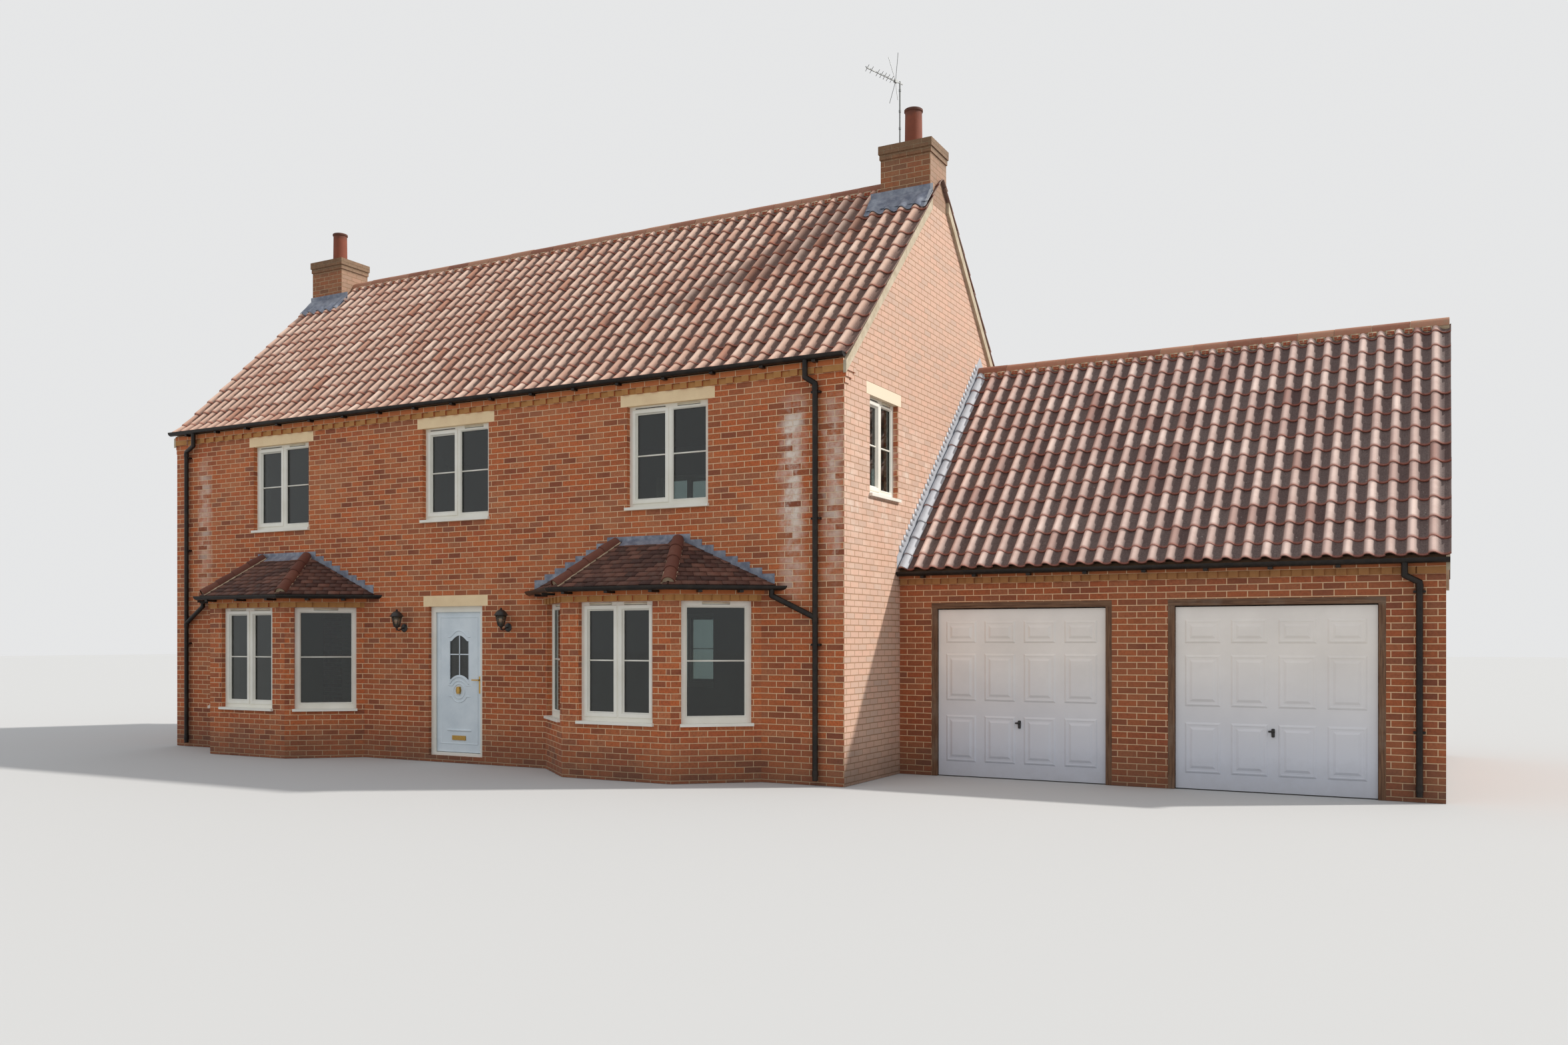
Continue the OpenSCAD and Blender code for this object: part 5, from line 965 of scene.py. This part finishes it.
def dressed_lead(name, x0, x1):
    """Lead beaten down over the front tiles below a chimney. Its height above the deck is the tiles' crest
    at the top edge and eases down to their own roll and pan at the lower edge, which is scalloped."""
    stack_y = 2.755
    y_low, y_high = stack_y - 0.25, stack_y - 0.02
    x = np.linspace(x0, x1, int((x1 - x0) / main_pitch * 12))
    roll = np.interp(((x + verge_out) / main_pitch) % 1.0, roll_at, roll_rise)
    t = np.linspace(0.0, 1.0, 8)[:, None]
    ease = t * t * (3 - 2 * t)
    height = tile_t + tile_lift + 0.013 + roll[None] * (1 - ease) + roll_rise.max() * ease
    y = y_low + (y_high - y_low) * t - 0.022 * (1 - t) * roll[None] / roll_rise.max()
    z = eaves_z + roof_t + y + math.sqrt(2) * height
    face = np.stack([x[None] + 0 * y, y, z], -1)
    put(name, np.stack([face, face - (0, 0, 0.004)]), two_sided(8, len(x)), lead, "lead", smooth=50)


dressed_lead("left_lead_apron", -0.036, stack_w + 0.15)
dressed_lead("right_lead_apron", main_w - stack_w - 0.15, main_w + 0.036)

# Chimney pots: plain tapers of fired terracotta, bedded in the mortar on the crown of each chimney and
# sooted at the lip.
pot = Shader("pot_clay", 0.8)
x, y, z = pot.xyz()
fired = pot.mix(pot.noise(9.0, 4.0, 0.65), rgb(142, 76, 54), rgb(110, 60, 44))
soot = pot.band(z + pot.noise(20.0) * 0.1, 9.13, 9.24) * 0.7
pot.to("Base Color", pot.mix(soot, fired, rgb(66, 50, 42)))
pot.bump(pot.noise(60.0, 4.0), 0.002, 0.6)
show(["chimney_pots"], pot)

# Television aerial: weathered aluminium tube and rods, clamped together and screwed to the brickwork
# through the plates of its brackets.
aluminium = mottled("aerial_aluminium", 0.42, (50.0, 4.0), (150, 152, 152), (112, 112, 110), metallic=0.85)
show(["tv_aerial"], aluminium)

# Floors inside: a cast slab of trowelled concrete on the ground, in the house and the garage, and
# nailed softwood boards 150 mm wide upstairs.
slab = mottled("concrete_floor", 0.88, (5.0, 5.0, 0.7), (146, 143, 136), (118, 114, 106),
               ((70.0, 4.0), 0.002, 0.6))
show(["ground_floor", "garage_floor"], slab)
boards = Shader("floor_boards", 0.6)
plank = boards.node("ShaderNodeTexBrick", {
    "Vector": boards.p, "Color1": (0, 0, 0), "Color2": (1, 1, 1), "Mortar": (0, 0, 0), "Scale": 1.0,
    "Mortar Size": 0.0015, "Brick Width": 2.4, "Row Height": 0.15}, offset=0.37)
boards.to("Base Color", boards.mix(plank, rgb(150, 120, 86), rgb(178, 146, 106)))
show(["first_floor"], boards)


# Garage doors: up-and-over leaves of pressed steel, enamelled off-white and splashed with grey at the
# foot, with a black lever lock. They hang on zinc-plated arms in frames of stained softwood that has
# weathered grey in patches.
pier_w, middle_pier, jamb, leaf_w, leaf_face = 0.44, 0.65, 0.081, 2.134, garage_back + 0.04
leaf_x = np.array([main_w + pier_w + jamb, main_w + pier_w + leaf_w + 2 * jamb + middle_pier + jamb])
enamel = Shader("door_enamel", 0.36)
x, y, z = enamel.xyz()
haze = enamel.band(enamel.noise(1.7, 4.0, 0.6), 0.35, 0.75)
splash = enamel.band(z + enamel.noise(8.0, 4.0, 0.7) * 0.4, 0.62, 0.18) * 0.30
paint = enamel.mix(haze, rgb(252, 244, 236), rgb(240, 232, 224))
# painted reflection of the sky: the enamel turns bluish towards the foot
paint = enamel.mix(enamel.band(z, 1.6, 0.2) * 0.8, paint, rgb(206, 213, 230))
paint = enamel.mix(splash, paint, rgb(150, 144, 136))
lock_hole = 0.0
for lock_x in leaf_x + leaf_w / 2 + corner[0]:
    lock_hole = lock_hole + (abs(x - lock_x) < 0.05) * (y < leaf_face + corner[1] - 0.0005)
lock_hole = lock_hole * enamel.math("COMPARE", z, 0.69, 0.08)
enamel.to("Base Color", enamel.mix(lock_hole, paint, rgb(32, 30, 29)))
enamel.to("Roughness", enamel.noise(12.0) * 0.2 + 0.28)
show(["garage_door_left", "garage_door_right"], enamel)


def raised_fields(rects, foot, top, face_y):
    """Flat-topped fields on a panel: four bevels from foot to top, each (distance in, depth), and both
    flats, on rectangles (x0, z0, x1, z1)"""
    places, faces = moulded_rings(rects, [foot, top], face_y)
    k = np.arange(4)[:, None]
    sides = np.concatenate([2 * k, 2 * ((k + 1) % 4), 2 * ((k + 1) % 4) + 1, 2 * k + 1], 1)
    return places, repeated(np.concatenate([sides, [[1, 3, 5, 7], [6, 4, 2, 0]]]), 8, len(rects))


margin, between, sill_gap = 0.125, 0.15, 0.010
panel_w = (leaf_w - 2 * margin - 3 * between) / 4
panel_rows = ((0.200, 0.550), (0.975, 0.557), (1.707, 0.235))
pressed_edge = [(-0.020, 0.001), (-0.019, -0.001), (-0.006, -0.0085), (0.004, -0.0110), (0.012, -0.0095),
                (0.016, -0.0070), (0.0, 0.001)]
lock_plate = [(0, -0.006, v) for v in (-0.064, -0.060, -0.030, 0.0, 0.030, 0.034)]
lock_lever = [(0.018, -0.027, 0.002), (0.010, -0.029, 0.003), (-0.020, -0.030, 0.003),
              (-0.044, -0.028, 0.001), (-0.049, -0.027, 0.0)]
handles = mottled("handle_black", 0.38, (80.0, 3.0), (26, 25, 25), (46, 44, 42))
for x_leaf, side in zip(leaf_x, ("left", "right")):
    starts = [x_leaf + margin + i * (panel_w + between) for i in range(4)]
    panels = [(x0, sill_gap + low, x0 + panel_w, sill_gap + low + tall)
              for x0 in starts for low, tall in panel_rows]
    put(side + "_door_pressings", *joined([
        moulded_rings(panels, pressed_edge, leaf_face),
        raised_fields(panels, (0.034, -0.0070), (0.066, -0.0185), leaf_face)]), enamel, "white_door",
        body=side + "_garage_leaf", smooth=12)
    lock = np.array([x_leaf + leaf_w / 2, leaf_face, 0.70])
    put(side + "_door_lock", *joined([
        swept(lock + lock_plate, [0.010, 0.017, 0.018, 0.019, 0.018, 0.010], 16),
        swept(lock + lock_lever, [0.009, 0.0125, 0.0115, 0.010, 0.005])]), handles, "black_plastic",
        body=side + "_garage_leaf", smooth=35, weld=True)

# the frames' grain runs up the jambs, and along the head above them
timber = Shader("stained_timber", 0.72)
x, y, z = timber.xyz()
standing, lying = (
    timber.noise(2.2, 4.0, 0.65, timber.node("ShaderNodeMapping", {"Vector": timber.p, "Scale": stretch}))
    for stretch in ((30.0, 30.0, 1.6), (1.6, 30.0, 30.0)))
fibre = timber.mix(z > 2.133, standing, lying)
wood = timber.mix(timber.band(fibre, 0.35, 0.7), rgb(84, 56, 38), rgb(132, 98, 72))
weathered = timber.band(timber.noise(3.0, 4.0), 0.5, 0.7) * 0.35
timber.to("Base Color", timber.mix(weathered, wood, rgb(142, 126, 110)))
timber.bump(fibre, 0.003, 0.7)
show(["garage_door_frames"], timber)
zinc = mottled("zinc_plate", 0.4, (60.0, 3.0), (168, 170, 172), (138, 140, 144), metallic=0.9)
show(["left_lift_arms", "right_lift_arms"], zinc)
